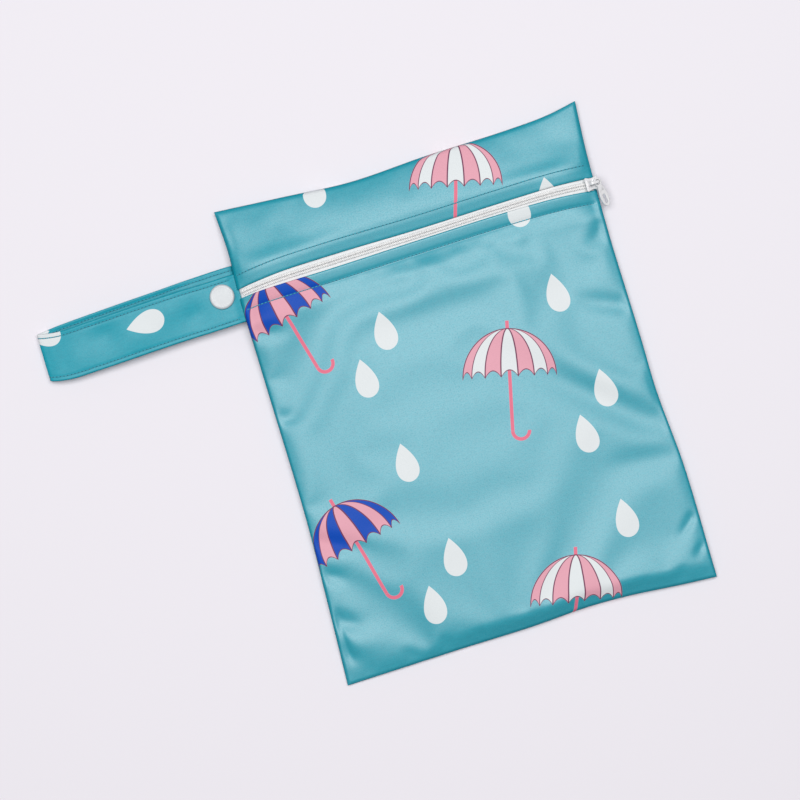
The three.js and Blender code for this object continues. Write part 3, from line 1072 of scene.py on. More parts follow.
@dataclass(frozen=True)
class HardFinish:
    """A white moulded, drawn or enamelled surface."""

    name: str
    base: Colour
    worn: Colour
    roughness: float
    coat: float = 0.0
    uneven: float = 0.16
    grain_depth: float = 0.00002

    def material(self, grain: EffectGroup) -> bpy.types.Material:
        """Builds the material.

        Args:
            grain: The fine grain group.

        Returns:
            The material.
        """
        finish = Finish(self.name)
        node = finish.group(grain, Place=finish.place())
        cloud = finish.field(node.outputs["Cloud"])
        finish.feed("Base Color", finish.mix(cloud.between(0.3, 0.8), self.base, self.worn))
        finish.feed("Roughness", cloud * self.uneven + (self.roughness - self.uneven / 2))
        finish.set(Coat_Weight=self.coat, Coat_Roughness=0.12)
        finish.bump(node.outputs["Grain"], strength=0.25, depth=self.grain_depth)
        return finish.material


@dataclass(frozen=True)
class SewingThread:
    """Twisted polyester thread."""

    name: str
    light: Colour
    dark: Colour

    def material(self, grain: EffectGroup) -> bpy.types.Material:
        """Builds the material.

        Args:
            grain: The fine grain group.

        Returns:
            The material.
        """
        finish = Finish(self.name)
        node = finish.group(grain, Place=finish.place())
        twist = finish.field(node.outputs["Grain"])
        finish.feed("Base Color", finish.mix(twist.between(0.3, 0.7), self.dark, self.light))
        finish.set(Roughness=0.6, Sheen_Weight=0.2)
        finish.bump(twist, strength=0.4, depth=0.00005)
        return finish.material


# The pouch's form


@dataclass(frozen=True)
class Fold:
    """A crease in the front cloth, deepest near its start: below 0 is a valley."""

    start: tuple[float, float]
    end: tuple[float, float]
    width: float
    depth: float
    begins: tuple[float, float] = (-0.15, 0.2)
    dies: tuple[float, float] = (0.4, 1.1)

    def height(self, x: Array, y: Array) -> Array:
        """Works out what the fold adds to the cloth's height.

        Args:
            x: Places along X.
            y: Places along Y.

        Returns:
            Heights in millimetres.
        """
        run = np.subtract(self.end, self.start)
        length = float(np.hypot(*run))
        share = ((x - self.start[0]) * run[0] + (y - self.start[1]) * run[1]) / length**2
        aside = ((y - self.start[1]) * run[0] - (x - self.start[0]) * run[1]) / (length * self.width)
        strength = smoothstep(share, *self.begins) * (1 - smoothstep(share, *self.dies))
        return self.depth * strength * np.exp(-(aside**2))


@dataclass(frozen=True)
class Lift:
    """A place where the seam stands higher above the floor."""

    x: float
    y: float
    rise: float
    reach: float


@dataclass(frozen=True)
class Catch:
    """A stretch of a side seam that something is caught in."""

    side: int
    y: float
    reach: float
    opening: float


@dataclass(frozen=True)
class PouchForm:
    """The shape of the closed pouch: its outline, its crown, its seam and its folds."""

    top_edge: Table = (
        (-96, 122.8), (-60, 120.3), (-25, 117.8), (15, 119.5), (60, 120.4), (80, 121.8), (96, 125.0),
    )
    bottom_edge: Table = (
        (-98, -123.9), (-35, -122.4), (0, -121.9), (30, -120.4), (50, -120.9), (75, -123.0), (96, -124.4),
    )
    left_edge: Table = (
        (-124, -97.3), (-80, -95.2), (-40, -93.6), (40, -93.7), (80, -93.5), (102, -92.7), (123, -93.8),
    )
    right_edge: Table = (
        (-124, 95.6), (-65, 95.7), (-25, 93.2), (0, 93.3), (60, 92.8), (92, 93.2), (125, 95.4),
    )
    slit_lower: Table = (
        (-94, 77.0), (-85, 77.8), (-70, 78.2), (-45, 78.6), (0, 79.7), (45, 80.5), (70, 80.2), (94, 78.4),
    )
    slit_upper: Table = (
        (-94, 81.6), (-85, 82.7), (-70, 84.1), (-45, 84.9), (0, 84.9), (45, 85.7), (70, 85.9), (94, 85.0),
    )
    crown: Table = (
        (-125, 7.4), (-60, 8.7), (0, 9.0), (50, 8.4), (82, 6.6), (100, 8.0), (125, 8.2),
    )
    lifts: tuple[Lift, ...] = (
        Lift(-94, 80, 3.6, 34),
        Lift(93, 82, 2.2, 24),
        Lift(-94, 122, 0.6, 16),
        Lift(95, 124, 1.2, 18),
        Lift(-97, -124, -0.4, 18),
        Lift(95, -124, 0.4, 16),
    )
    lift_power: int = 4
    catches: tuple[Catch, ...] = (Catch(-1, 77.7, 19, 1.15), Catch(1, 82, 14, 0.5))
    catch_power: int = 6
    catch_run: tuple[float, float] = (30.0, 80.0)
    folds: tuple[Fold, ...] = (
        Fold((92, -46), (22, 16), 8, -1.5),
        Fold((92, -32), (40, 12), 8, 0.8),
        Fold((92, -60), (44, -54), 7, -0.9),
        Fold((92, 18), (62, 31), 5, -1.2),
        Fold((66, 33), (40, 41), 7, -0.8),
        Fold((92, 64), (82, 50), 4, -1.0),
        Fold((93, -90), (82, -101), 2.4, -0.9),
        Fold((96, -105), (86, -112), 2.4, -0.9),
        Fold((-93, 60), (-74, 53), 4.5, -1.1),
        Fold((-94, 15), (-78, 11), 4, -1.1),
        Fold((-94, -49), (-66, -61), 4.5, -1.6),
        Fold((-95, -66), (-80, -73), 4, -1.2),
        Fold((-96, -88), (-80, -99), 4.5, -1.5),
        Fold((-97, -104), (-86, -116), 4, -1.0),
        Fold((-92, -106), (-62, -103), 9, 0.9),
        Fold((-93.5, -92), (-91, -114), 1.8, -0.7),
        Fold((-91, 117), (-89, 98), 2.5, -0.4),
    )
    wall: float = 1.0
    seam: float = 1.6
    seam_half_gap: float = 0.2
    seam_rise: float = 14.0
    side_power: float = 6.0
    roll: float = 0.75
    bottom_roll: Table = ((-98, 0.08), (-50, 0.08), (40, 0.25), (96, 0.25))
    bottom_slack: Table = ((-98, 0.76), (-70, 0.74), (-45, 0.55), (40, 0.0), (96, 0.0))
    bottom_seam: float = 0.7
    bottom_band: tuple[float, float] = (4.5, 11.0)
    bottom_reach: float = 26.0
    top_roll: float = 0.3
    top_seam: float = 0.8
    top_reach: float = 14.0
    pillow_roll: float = 0.28
    pillow_slope: float = 0.13
    pillow_slope_reach: float = 8.0
    pillow_reach: Table = ((-124, 0.55), (50, 0.55), (100, 1.1), (125, 1.1))
    pillow_power: float = 2.2
    zip_zone: tuple[float, float] = (8.0, 18.0)
    fold_fade: float = 5.0
    edge_roll: float = 1.6
    edge_half: float = 0.35

    def __post_init__(self) -> None:
        """Turns each table into a smooth function under the same name with _at."""
        tables = ("top_edge", "bottom_edge", "left_edge", "right_edge", "slit_lower", "slit_upper")
        for name in (*tables, "crown", "bottom_roll", "bottom_slack", "pillow_reach"):
            object.__setattr__(self, name + "_at", curve_through(getattr(self, name)))

    def slit(self, side: Side) -> Curve:
        """Gives the edge of the cloth at the zip, on one side of it."""
        return self.slit_upper_at if side is Side.UPPER else self.slit_lower_at

    def zip_middle(self, x: Array) -> Array:
        """Gives the zip's middle line."""
        return (self.slit_lower_at(x) + self.slit_upper_at(x)) / 2

    def spread(self, low: Curve, high: Curve, across: Array, along: Array) -> tuple[Array, Array]:
        """Spreads a grid over the pouch between two edges that run across it.

        Args:
            low: The lower edge.
            high: The upper edge.
            across: Shares of the way from the left edge to the right one.
            along: Shares of the way from the lower edge to the upper one.

        Returns:
            Places along X and along Y, across by along.
        """
        near = lerp(self.left_edge_at(0.0), self.right_edge_at(0.0), across[:, None])
        y = lerp(low(near), high(near), along[None, :])
        return lerp(self.left_edge_at(y), self.right_edge_at(y), across[:, None]), y

    def insets(self, x: Array, y: Array) -> tuple[Array, Array, Array]:
        """Measures how far places lie in from the outline.

        Args:
            x: Places along X.
            y: Places along Y.

        Returns:
            Distances from the nearer side, from the bottom and from the top.
        """
        side = np.minimum(x - self.left_edge_at(y), self.right_edge_at(y) - x)
        return tuple(np.maximum(d, 0) for d in (side, y - self.bottom_edge_at(x), self.top_edge_at(x) - y))

    def inset(self, x: Array, y: Array) -> Array:
        """Measures how far places lie in from the nearest edge."""
        return np.minimum.reduce(self.insets(x, y))

    def seam_height(self, x: Array, y: Array) -> Array:
        """Gives the height of the seam's middle plane, carried over the whole outline.

        Args:
            x: Places along X.
            y: Places along Y.

        Returns:
            Heights in millimetres.
        """
        height = np.full(np.shape(x), self.seam)
        for lift in self.lifts:
            distance = np.hypot(x - lift.x, y - lift.y) / lift.reach
            height = height + lift.rise * np.exp(-(distance**self.lift_power))
        return height

    def caught(self, x: Array, y: Array) -> Array:
        """Gives how far what is caught in the seam holds the cloth apart, on each side of its middle.

        Args:
            x: Places along X.
            y: Places along Y.

        Returns:
            Distances in millimetres.
        """
        gap = np.zeros(np.shape(x))
        for catch in self.catches:
            on_side = smoothstep(catch.side * x, *self.catch_run)
            distance = (y - catch.y) / catch.reach
            gap = gap + on_side * catch.opening * np.exp(-(distance**self.catch_power))
        return gap

    def underside(self, x: Array, y: Array) -> Array:
        """Gives the height that the zip's tapes lie under.

        Args:
            x: Places along X.
            y: Places along Y.

        Returns:
            Heights in millimetres.
        """
        left, right = self.left_edge_at(y), self.right_edge_at(y)
        across = np.clip(np.abs(2 * x - left - right) / (right - left), 0, 1)
        from_side, from_bottom, from_top = self.insets(x, y)
        away = smoothstep(np.abs(y - self.zip_middle(x)), *self.zip_zone)
        seam_roll = self.pillow_roll * np.tanh(from_side / self.pillow_reach_at(y))
        seam_slope = self.pillow_slope * np.tanh(from_side / self.pillow_slope_reach)
        middle = (1 - self.pillow_roll - self.pillow_slope) * (1 - across**self.pillow_power)
        pillow = seam_roll + seam_slope + middle
        sides = lerp((1 - across**self.side_power) ** self.roll, pillow, away)
        roll, slack = self.bottom_roll_at(x), np.clip(self.bottom_slack_at(x), 0, 1)
        rolled = roll * np.tanh(from_bottom / self.bottom_seam)
        rising = slack * np.tanh(from_bottom / self.bottom_reach)
        bottom = rolled + rising + (1 - roll - slack) * eased_rise(from_bottom, *self.bottom_band)
        top = lerp(np.tanh(from_top / self.top_reach), np.tanh(from_top / self.top_seam), self.top_roll)
        folds = sum(fold.height(x, y) for fold in self.folds)
        folds = folds * smoothstep(self.inset(x, y), 0, self.fold_fade)
        base = self.seam_height(x, y) + self.seam_half_gap + self.caught(x, y)
        return base + self.crown_at(y) * sides * bottom * top + folds

    def front(self, x: Array, y: Array) -> Array:
        """Gives the front's outer face, which closes on the seam at the outline.

        Args:
            x: Places along X.
            y: Places along Y.

        Returns:
            Heights in millimetres.
        """
        closed = self.edge_half - self.seam_half_gap
        open_share = smoothstep(self.inset(x, y), 0, self.edge_roll)
        return self.underside(x, y) + lerp(closed, self.wall, open_share)

    def back(self, x: Array, y: Array) -> Array:
        """Gives the back's outer face: flat on the floor, turned up to the seam near the outline."""
        at_seam = self.seam_height(x, y) - self.caught(x, y) - self.edge_half
        return at_seam * (1 - smoothstep(self.inset(x, y), 0, self.seam_rise))


# Sub-assemblies


@dataclass
class SlackSheet:
    """The whole front cloth as one slack sheet, settled by the cloth solver and read back as offsets."""

    form: PouchForm
    columns: int = 88
    rows: int = 114
    frames: int = 45
    enlarge: float = 10.0
    slack: float = 0.003
    zip_reach: tuple[float, float] = (9.0, 14.0)
    pressure: float = 0.06
    gravity: float = 0.05
    bending: float = 2.0
    stretch: float = 20.0
    softer: tuple[tuple[str, float], ...] = (("tension", 1.0), ("compression", 1.0), ("shear", 3.0))
    damping: float = 10.0
    air_damping: float = 5.0
    mass: float = 0.2
    quality: int = 6
    most: float = 3.0
    offsets: Array | None = None

    def places(self) -> tuple[Array, Array]:
        """Spreads the sheet's grid over the whole front.

        Returns:
            Places along X and along Y, columns + 1 by rows + 1.
        """
        across = np.linspace(0, 1, self.columns + 1)
        along = np.linspace(0, 1, self.rows + 1)
        return self.form.spread(self.form.bottom_edge_at, self.form.top_edge_at, across, along)

    def sheet(self) -> bpy.types.Object:
        """Makes the sheet, enlarged to the solver's scale, held at its outline and along the zip.

        Returns:
            The sheet, with its vertex group of held places.
        """
        x, y = self.places()
        points = np.stack([x, y, self.form.front(x, y)], axis=2).reshape(-1, 3)
        mesh = mesh_from(points * self.enlarge, grid_faces(self.columns + 1, self.rows + 1).tolist())
        sheet = new_piece("slack_sheet", mesh)
        held = 1 - smoothstep(np.abs(y - self.form.zip_middle(x)), *self.zip_reach)
        held[[0, -1], :] = 1
        held[:, [0, -1]] = 1
        group = sheet.vertex_groups.new(name="held")
        for number, weight in enumerate(held.ravel()):
            group.add([number], float(weight), "REPLACE")
        return sheet

    def settle(self) -> None:
        """Runs the cloth solver and keeps how far each place moved, in millimetres."""
        sheet = self.sheet()
        start = np.zeros(len(sheet.data.vertices) * 3)
        sheet.data.vertices.foreach_get("co", start)
        cloth = sheet.modifiers.new("slack", "CLOTH")
        settings = cloth.settings
        settings.quality = self.quality
        settings.mass = self.mass
        settings.bending_stiffness = self.bending
        for strain, softness in self.softer:
            setattr(settings, f"{strain}_stiffness", self.stretch / softness)
            setattr(settings, f"{strain}_damping", self.damping)
        settings.air_damping = self.air_damping
        settings.vertex_group_mass = "held"
        settings.shrink_min = -self.slack
        settings.use_pressure = True
        settings.uniform_pressure_force = self.pressure
        settings.effector_weights.gravity = self.gravity
        cloth.collision_settings.use_collision = False
        cloth.point_cache.frame_start = 1
        cloth.point_cache.frame_end = self.frames
        scene = bpy.context.scene
        for frame in range(1, self.frames + 1):
            scene.frame_set(frame)
        shown = sheet.evaluated_get(bpy.context.evaluated_depsgraph_get())
        end = np.zeros(len(start))
        shown.data.vertices.foreach_get("co", end)
        scene.frame_set(1)
        mesh = sheet.data
        bpy.data.objects.remove(sheet)
        bpy.data.meshes.remove(mesh)
        moved = (end - start) / (MM * self.enlarge)
        moved = self.most * np.tanh(moved / self.most)
        self.offsets = moved.reshape(self.columns + 1, self.rows + 1, 3)
        LOG.info("slack sheet: moved %.2f mm at most", float(np.abs(moved).max()))

    def offset(self, x: Array, y: Array) -> Array:
        """Gives how far the settled cloth lies from the pouch's plain form.

        Args:
            x: Places along X.
            y: Places along Y.

        Returns:
            Offsets in millimetres, with one more axis of 3 than x.
        """
        if self.offsets is None:
            return np.zeros((*np.shape(x), 3))
        form = self.form
        left, right = form.left_edge_at(y), form.right_edge_at(y)
        across = np.clip((x - left) / (right - left), 0, 1)
        near = lerp(form.left_edge_at(0.0), form.right_edge_at(0.0), across)
        bottom, top = form.bottom_edge_at(near), form.top_edge_at(near)
        along = np.clip((y - bottom) / (top - bottom), 0, 1)
        return spline_grid(self.offsets, across * self.columns, along * self.rows)


@dataclass
class Pouch:
    """The three sewn panels, and the lines of the stitches beside the zip."""

    form: PouchForm
    slack: SlackSheet
    thickness: float = 0.55
    grid: float = 1.15
    span: float = 190.0
    back_grid: tuple[int, int] = (110, 140)
    stitch_ends: tuple[float, float] = (-91.5, 91.0)
    stitch_points: int = 400
    welt_width: float = 6.4
    header_welt: float = 6.7
    welt_sink: float = 1.75
    welt_curl: float = 0.5
    welt_fade: float = 9.0
    welt_end: float = 5.0
    header_rise: float = 0.9
    header_fade: float = 18.0
    header_low: float = 0.45
    header_slack: float = 0.35
    groove: float = 0.3
    groove_width: float = 0.8
    hem_drop: float = 0.65
    hem_roll: float = 0.9
    floor_gap: float = 0.08

    def welt_to(self, side: Side) -> float:
        """Gives the distance from the zip's edge to the row of stitches."""
        return self.header_welt if side is Side.UPPER else self.welt_width

    def front_face(self, x: Array, y: Array, side: Side) -> Array:
        """Shapes a front panel: its welt, its row of stitches and its rolled edge at the zip.

        Args:
            x: Places along X.
            y: Places along Y.
            side: Which side of the zip the panel lies on.

        Returns:
            Points, with one more axis of 3 than x.
        """
        z = self.height(x, y, np.abs(y - self.form.slit(side)(x)), side)
        loose = self.header_slack if side is Side.UPPER else 1.0
        return np.stack([x, y, z], axis=-1) + self.slack.offset(x, y) * loose

    def height(self, x: Array, y: Array, away: Array, side: Side) -> Array:
        """Gives the height of a front panel, its welt held flat in the side seams.

        Args:
            x: Places along X.
            y: Places along Y.
            away: Distance from the panel's edge at the zip.
            side: Which side of the zip.

        Returns:
            Heights of the outer face, in millimetres.
        """
        free = smoothstep(self.form.inset(x, y), 0.0, self.welt_end)
        return self.form.front(x, y) + self.welt(away, side) * free

    def welt(self, away: Array, side: Side) -> Array:
        """Slopes the welts: the upper falls towards the zip, the lower rises to it from its stitches.

        Args:
            away: Distance from the panel's edge at the zip.
            side: Which side of the zip.

        Returns:
            Heights to add for the slope, the stitched groove and the hem, in millimetres.
        """
        width = self.welt_to(side)
        share = np.clip(away / width, 0, 1)
        if side is Side.UPPER:
            fade, slope = self.header_fade, lerp(-self.header_low, self.header_rise, share)
        else:
            fade, slope = self.welt_fade, -self.welt_sink * share * lerp(self.welt_curl, 1.0, share)
        slope = slope * (1 - smoothstep(away, width, width + fade))
        groove = self.groove * np.exp(-(((away - width) / self.groove_width) ** 2))
        rolled = 1 - np.clip(away / self.hem_roll, 0, 1)
        hem = self.hem_drop * (1 - np.sqrt(1 - rolled**2))
        return slope - groove - hem

    def panel(self, name: str, side: Side) -> bpy.types.Object:
        """Makes a front panel.

        Args:
            name: The piece's name.
            side: Which side of the zip it lies on.

        Returns:
            The piece.
        """
        form = self.form
        low, high = form.bottom_edge_at, form.slit(side)
        if side is Side.UPPER:
            low, high = form.slit(side), form.top_edge_at
        depth = float(high(0.0) - low(0.0))
        across, along = (drawn_to_ends(int(size / self.grid)) for size in (self.span, depth))
        points = self.front_face(*form.spread(low, high, across, along), side)
        return new_piece(name, cloth_shell(points, self.thickness, cut_lengths(points)))

    def back_panel(self, name: str) -> bpy.types.Object:
        """Makes the back panel, its outer face down.

        Args:
            name: The piece's name.

        Returns:
            The piece.
        """
        form = self.form
        across, along = map(drawn_to_ends, self.back_grid)
        x, y = form.spread(form.bottom_edge_at, form.top_edge_at, across, along)
        outer = np.stack([x, y, form.back(x, y)], axis=2)
        inner = outer + grid_normals(outer) * self.thickness
        inner[:, :, 2] += self.floor_gap
        return new_piece(name, cloth_shell(inner, self.thickness, cut_lengths(inner)))

    def stitch_line(self, side: Side) -> Array:
        """Follows the row of stitches beside the zip, on the cloth.

        Args:
            side: Which side of the zip.

        Returns:
            Points, count by 3.
        """
        x = np.linspace(*self.stitch_ends, self.stitch_points)
        y = self.form.slit(side)(x) + side.value * self.welt_to(side)
        return self.front_face(x, y, side)


@dataclass(frozen=True)
class Stitching:
    """A row of lockstitches in sewing thread."""

    pitch: float = 1.9
    length: float = 1.3
    # hole and hole_lift: length and height of the dark tubes of painted shade in the needle's pricks
    # between the stitches
    hole: float = 0.75
    radius: float = 0.27
    lift: float = 0.2
    sink: float = 0.2
    hole_lift: float = 0.02
    stations: tuple[float, ...] = (0.0, 0.16, 0.5, 0.84, 1.0)
    taper: tuple[float, ...] = (0.6, 0.95, 1.0, 0.95, 0.6)
    shoulder: float = 0.7
    sides: int = 6

    def row(self, line: Array, length: float, shift: float, heights: Sequence[float]) -> Array:
        """Lays stitches, or the holes between them, along a line.

        Args:
            line: Points along the row, on the cloth.
            length: Length of each.
            shift: Where the first one starts.
            heights: Height above the line at each of its stations.

        Returns:
            Paths, count by stations by 3.
        """
        run = run_along(line)
        starts = np.arange(shift, run[-1] - self.pitch, self.pitch)
        at = starts[:, None] + np.array(self.stations)[None] * length
        paths = np.stack([np.interp(at, run, line[:, k]) for k in range(3)], axis=2)
        paths[:, :, 2] += np.array(heights)
        return paths

    def piece(self, name: str, lines: Sequence[Array], hole: bpy.types.Material) -> bpy.types.Object:
        """Makes rows of stitches as one piece, with short dark tubes between them as painted shade in the
        needle's pricks.

        Args:
            name: The piece's name.
            lines: The rows' lines.
            hole: The dark material of the painted shade in the needle's pricks.

        Returns:
            The piece, with its second material for the painted shade in the pricks.
        """
        shoulder = self.shoulder * self.lift
        arch = (-self.sink, shoulder, self.lift, shoulder, -self.sink)
        flat = (self.hole_lift,) * len(self.stations)
        start = (self.length + self.pitch - self.hole) / 2
        threads = [self.row(line, self.length, 0.0, arch) for line in lines]
        # Dark tubes laid flat between the stitches: painted shade of the needle's pricks, not thread
        prick_shade_paths = [self.row(line, self.hole, start, flat) for line in lines]
        radii = self.radius * np.array(self.taper)
        paths = np.concatenate(threads + prick_shade_paths)
        piece = new_piece(name, tubes(paths, radii, self.sides, Vector((0, 0, 1))))
        first = sum(map(len, threads))
        number = np.zeros(len(piece.data.vertices), dtype=np.int32)
        number[first * len(radii) * self.sides :] = 1
        faces = [int(number[face.vertices[0]]) for face in piece.data.polygons]
        piece.data.materials.append(None)
        piece.data.materials.append(hole)
        piece.data.polygons.foreach_set("material_index", faces)
        return piece


@dataclass
class Zip:
    """The zip's two tapes and the two halves of its closed coil."""

    form: PouchForm
    pouch: Pouch
    tape_width: float = 11.0
    tape_thickness: float = 0.6
    tape_gap: float = 0.4
    sewn_gap: float = 0.2
    tape_grid: tuple[int, int] = (240, 15)
    ends: tuple[float, float] = (-92.6, 91.6)
    parting: tuple[float, float] = (0.02, 1.5)
    parting_run: float = 3.0
    coil_ends: tuple[float, float] = (-91.5, 88.0)
    coil_pitch: float = 0.9
    coil_steps: int = 12
    coil_half_width: float = 0.62
    coil_half_height: float = 0.22
    coil_wire: float = 0.27
    wire_sides: int = 6
    coil_inner: float = 0.18
    coil_seat: float = -0.38
    post_x: float = 90.2

    def tape(self, name: str, side: Side) -> bpy.types.Object:
        """Makes one woven tape.

        Args:
            name: The piece's name.
            side: Which side of the zip.

        Returns:
            The piece.
        """
        columns, rows = self.tape_grid
        x = np.linspace(*self.ends, columns)[:, None]
        parting = lerp(*self.parting, smoothstep(x, self.post_x - self.parting_run, self.post_x))
        away = lerp(parting, self.tape_width, np.linspace(0, 1, rows)[None, :])
        y = self.form.zip_middle(x) + side.value * away
        x = np.broadcast_to(x, y.shape)
        under = side.value * (y - self.form.slit(side)(x))
        cloth = self.pouch.height(x, y, np.maximum(under, 0), side)
        sewn = np.where(under > 0, cloth - self.pouch.thickness - self.sewn_gap, np.inf)
        z = np.minimum(self.form.underside(x, y) - self.tape_gap, sewn)
        points = np.stack([x, y, z], axis=2)
        if side is Side.LOWER:
            points = points[:, ::-1]
        return new_piece(name, cloth_shell(points, self.tape_thickness, cut_lengths(points)))

    def coil(self, name: str, side: Side) -> bpy.types.Object:
        """Makes one half of the closed coil, as its turns of drawn nylon.

        Args:
            name: The piece's name.
            side: Which side of the zip.

        Returns:
            The piece.
        """
        start, end = self.coil_ends
        turns = (end - start) / self.coil_pitch
        steps = int(turns * self.coil_steps)
        turn = np.linspace(0, turns, steps) * 2 * math.pi
        shift = 0.0 if side is Side.UPPER else self.coil_pitch / 2
        x = start + shift + turn / (2 * math.pi) * self.coil_pitch
        middle = self.form.zip_middle(x)
        reach = self.coil_half_width + self.coil_inner - self.coil_half_width * np.cos(turn)
        y = middle + side.value * reach
        seat = self.form.underside(x, middle) + self.coil_seat + self.coil_wire + self.coil_half_height
        z = seat + self.coil_half_height * np.sin(turn)
        path = np.stack([x, y, z], axis=1)[None]
        radii = np.full(steps, self.coil_wire)
        return new_piece(name, tubes(path, radii, self.wire_sides, Vector((1, 0, 0))))


@dataclass
class Slider:
    """The slider and its pull, in a frame that lies along the zip at the slider."""

    pivot: Vector
    axis: Vector
    length: float = 7.2
    width: float = 7.0
    waist: float = 0.82
    corner: float = 0.9
    corner_steps: int = 6
    plate: float = 1.0
    plate_top: float = 3.1
    plate_bevel: float = 0.3
    under: tuple[float, float, float] = (4.0, 5.6, 0.8)
    under_top: float = -1.75
    under_back: float = 1.7
    under_bevel: float = 0.2
    post: tuple[tuple[float, float], tuple[float, float]] = ((-0.5, -0.8), (0.7, 0.8))
    post_bevel: float = 0.1
    flange: tuple[tuple[float, float], tuple[float, float]] = ((-2.5, -0.25), (2.5, 0.25))
    flange_height: float = 1.6
    flange_aside: float = 2.5
    flange_drop: float = 0.6
    flange_bevel: float = 0.15
    bridge_width: float = 1.5
    bridge_height: float = 3.3
    bridge_sunk: float = 0.3
    bridge_foot: float = 1.1
    bridge_fillet: float = 0.5
    bridge_bevel: float = 0.25
    tunnel: float = 2.4
    leg_x: float = 2.3
    leg: float = 1.2
    span: float = 4.6
    pull_turn: float = -75.0
    pull_droop: float = 4.0
    pull_bend: float = 8.0
    pull_thickness: float = 0.9
    pull_reach: float = 13.2
    pull_width: float = 4.8
    eye_radius: float = 2.2
    eye_hole: float = 1.35
    eye_open: float = 35.0
    neck_reach: float = 3.4
    neck_half: float = 1.7
    bend_back: float = 0.6
    slot_half: float = 0.8
    slot_run: tuple[float, float] = (0.42, 0.78)
    dish: tuple[float, float] = (0.72, 0.6)
    dish_shift: float = 0.3
    dish_share: float = 0.6
    dish_bevel: float = 0.14
    rim_bevel: float = 0.22

    def eye(self) -> Vector:
        """Gives the middle of the pull's eye in the slider's own frame, in metres."""
        return Vector((self.leg_x, 0, self.plate_top + self.tunnel / 2)) * MM

    def rest(self) -> Matrix:
        """Gives the frame that the slider's sizes are in, in metres, from the pull's pivot.

        Returns:
            The matrix from the slider's own millimetres, taken as metres, to the pouch.
        """
        up = self.axis.normalized()
        side = Vector((0, 1, 0))
        forward = side.cross(up).normalized()
        turn = Matrix((forward, side, up)).transposed().to_4x4()
        return Matrix.Translation(self.pivot) @ turn @ Matrix.Translation(-self.eye())

    def plan(self, length: float, width: float) -> Array:
        """Draws the waisted outline of a slider plate.

        Args:
            length: Its length along the zip.
            width: Its width.

        Returns:
            Points of the outline.
        """
        x, y, c, steps = length / 2, width / 2, self.corner, self.corner_steps
        pinch = (2 * self.waist - 1) * y
        waist = bend((-x + c, -y), (0, -pinch), (x - c, -y))[:-1]
        right = bend((x - c, -y), (x, -y), (x, -y + c), steps=steps)
        lower = np.concatenate([waist, right])
        left_top = bend((-x + c, y), (-x, y), (-x, y - c), steps=steps)[1:]
        left_low = bend((-x, -y + c), (-x, -y), (-x + c, -y), steps=steps)[:-1]
        return np.concatenate([lower, lower[::-1] * (1, -1), left_top, left_low])

    def bridge(self) -> bpy.types.Mesh:
        """Makes the arched bridge, standing on the plate.

        Returns:
            The mesh, in the slider's own frame.
        """
        height, tunnel, sunk, fillet = self.bridge_height, self.tunnel, self.bridge_sunk, self.bridge_fillet
        rear, front = self.leg_x - self.span, self.leg_x + self.leg / 2
        inside, leg = rear + self.bridge_foot, front - self.leg
        outline = np.concatenate(
            [
                [(rear, -sunk), (inside, -sunk)],
                bend((inside, 0.6 * tunnel), (inside, tunnel), (inside + 0.4 * tunnel, tunnel), steps=6),
                bend((leg - fillet, tunnel), (leg, tunnel), (leg, tunnel - fillet), steps=4),
                [(leg, -sunk), (front, -sunk)],
                bend((front, 0.6 * height), (front, height), (front - 0.4 * height, height), steps=8),
                bend((rear + 0.5 * height, height), (rear, height), (rear, 0.45 * height), steps=8),
            ]
        )
        mesh = plate([outline], self.bridge_width, self.bridge_bevel)
        mesh.transform(Matrix.Rotation(math.pi / 2, 4, "X"))
        mesh.transform(Matrix.Translation((0, 0, self.plate_top * MM)))
        return mesh

    def body(self, name: str) -> bpy.types.Object:
        """Makes the slider.

        Args:
            name: The piece's name.

        Returns:
            The piece, in its place.
        """
        top = plate([self.plan(self.length, self.width)], self.plate, self.plate_bevel)
        top.transform(Matrix.Translation((0, 0, (self.plate_top - self.plate / 2) * MM)))
        length, width, thick = self.under
        low = plate([self.plan(length, width)], thick, self.under_bevel)
        low.transform(Matrix.Translation(Vector((-self.under_back, 0, self.under_top - thick / 2)) * MM))
        post_low, post_high = self.under_top - thick / 2, self.plate_top - self.plate / 2
        post = plate([oblong(*self.post)], post_high - post_low, self.post_bevel)
        post.transform(Matrix.Translation((0, 0, (post_high + post_low) / 2 * MM)))
        flanges = []
        for side in Side:
            flange = plate([oblong(*self.flange)], self.flange_height, self.flange_bevel)
            height = self.plate_top - self.plate - self.flange_drop
            place = Vector((0, side.value * self.flange_aside, height)) * MM
            flange.transform(Matrix.Translation(place))
            flanges.append(flange)
        piece = joined(name, [top, low, post, *flanges, self.bridge()])
        piece.data.transform(self.rest())
        return piece

    def pull(self, name: str) -> bpy.types.Object:
        """Makes the pull: eye, neck, and a leaf-shaped blade with a raised rim, bent down a little.

        Args:
            name: The piece's name.

        Returns:
            The piece, in its place.
        """
        half, neck, far = self.pull_width / 2, self.neck_half, self.pull_reach
        blade = far - self.neck_reach

        def along(share: float) -> float:
            """Gives the place at a share of the blade's length."""
            return self.neck_reach + share * blade

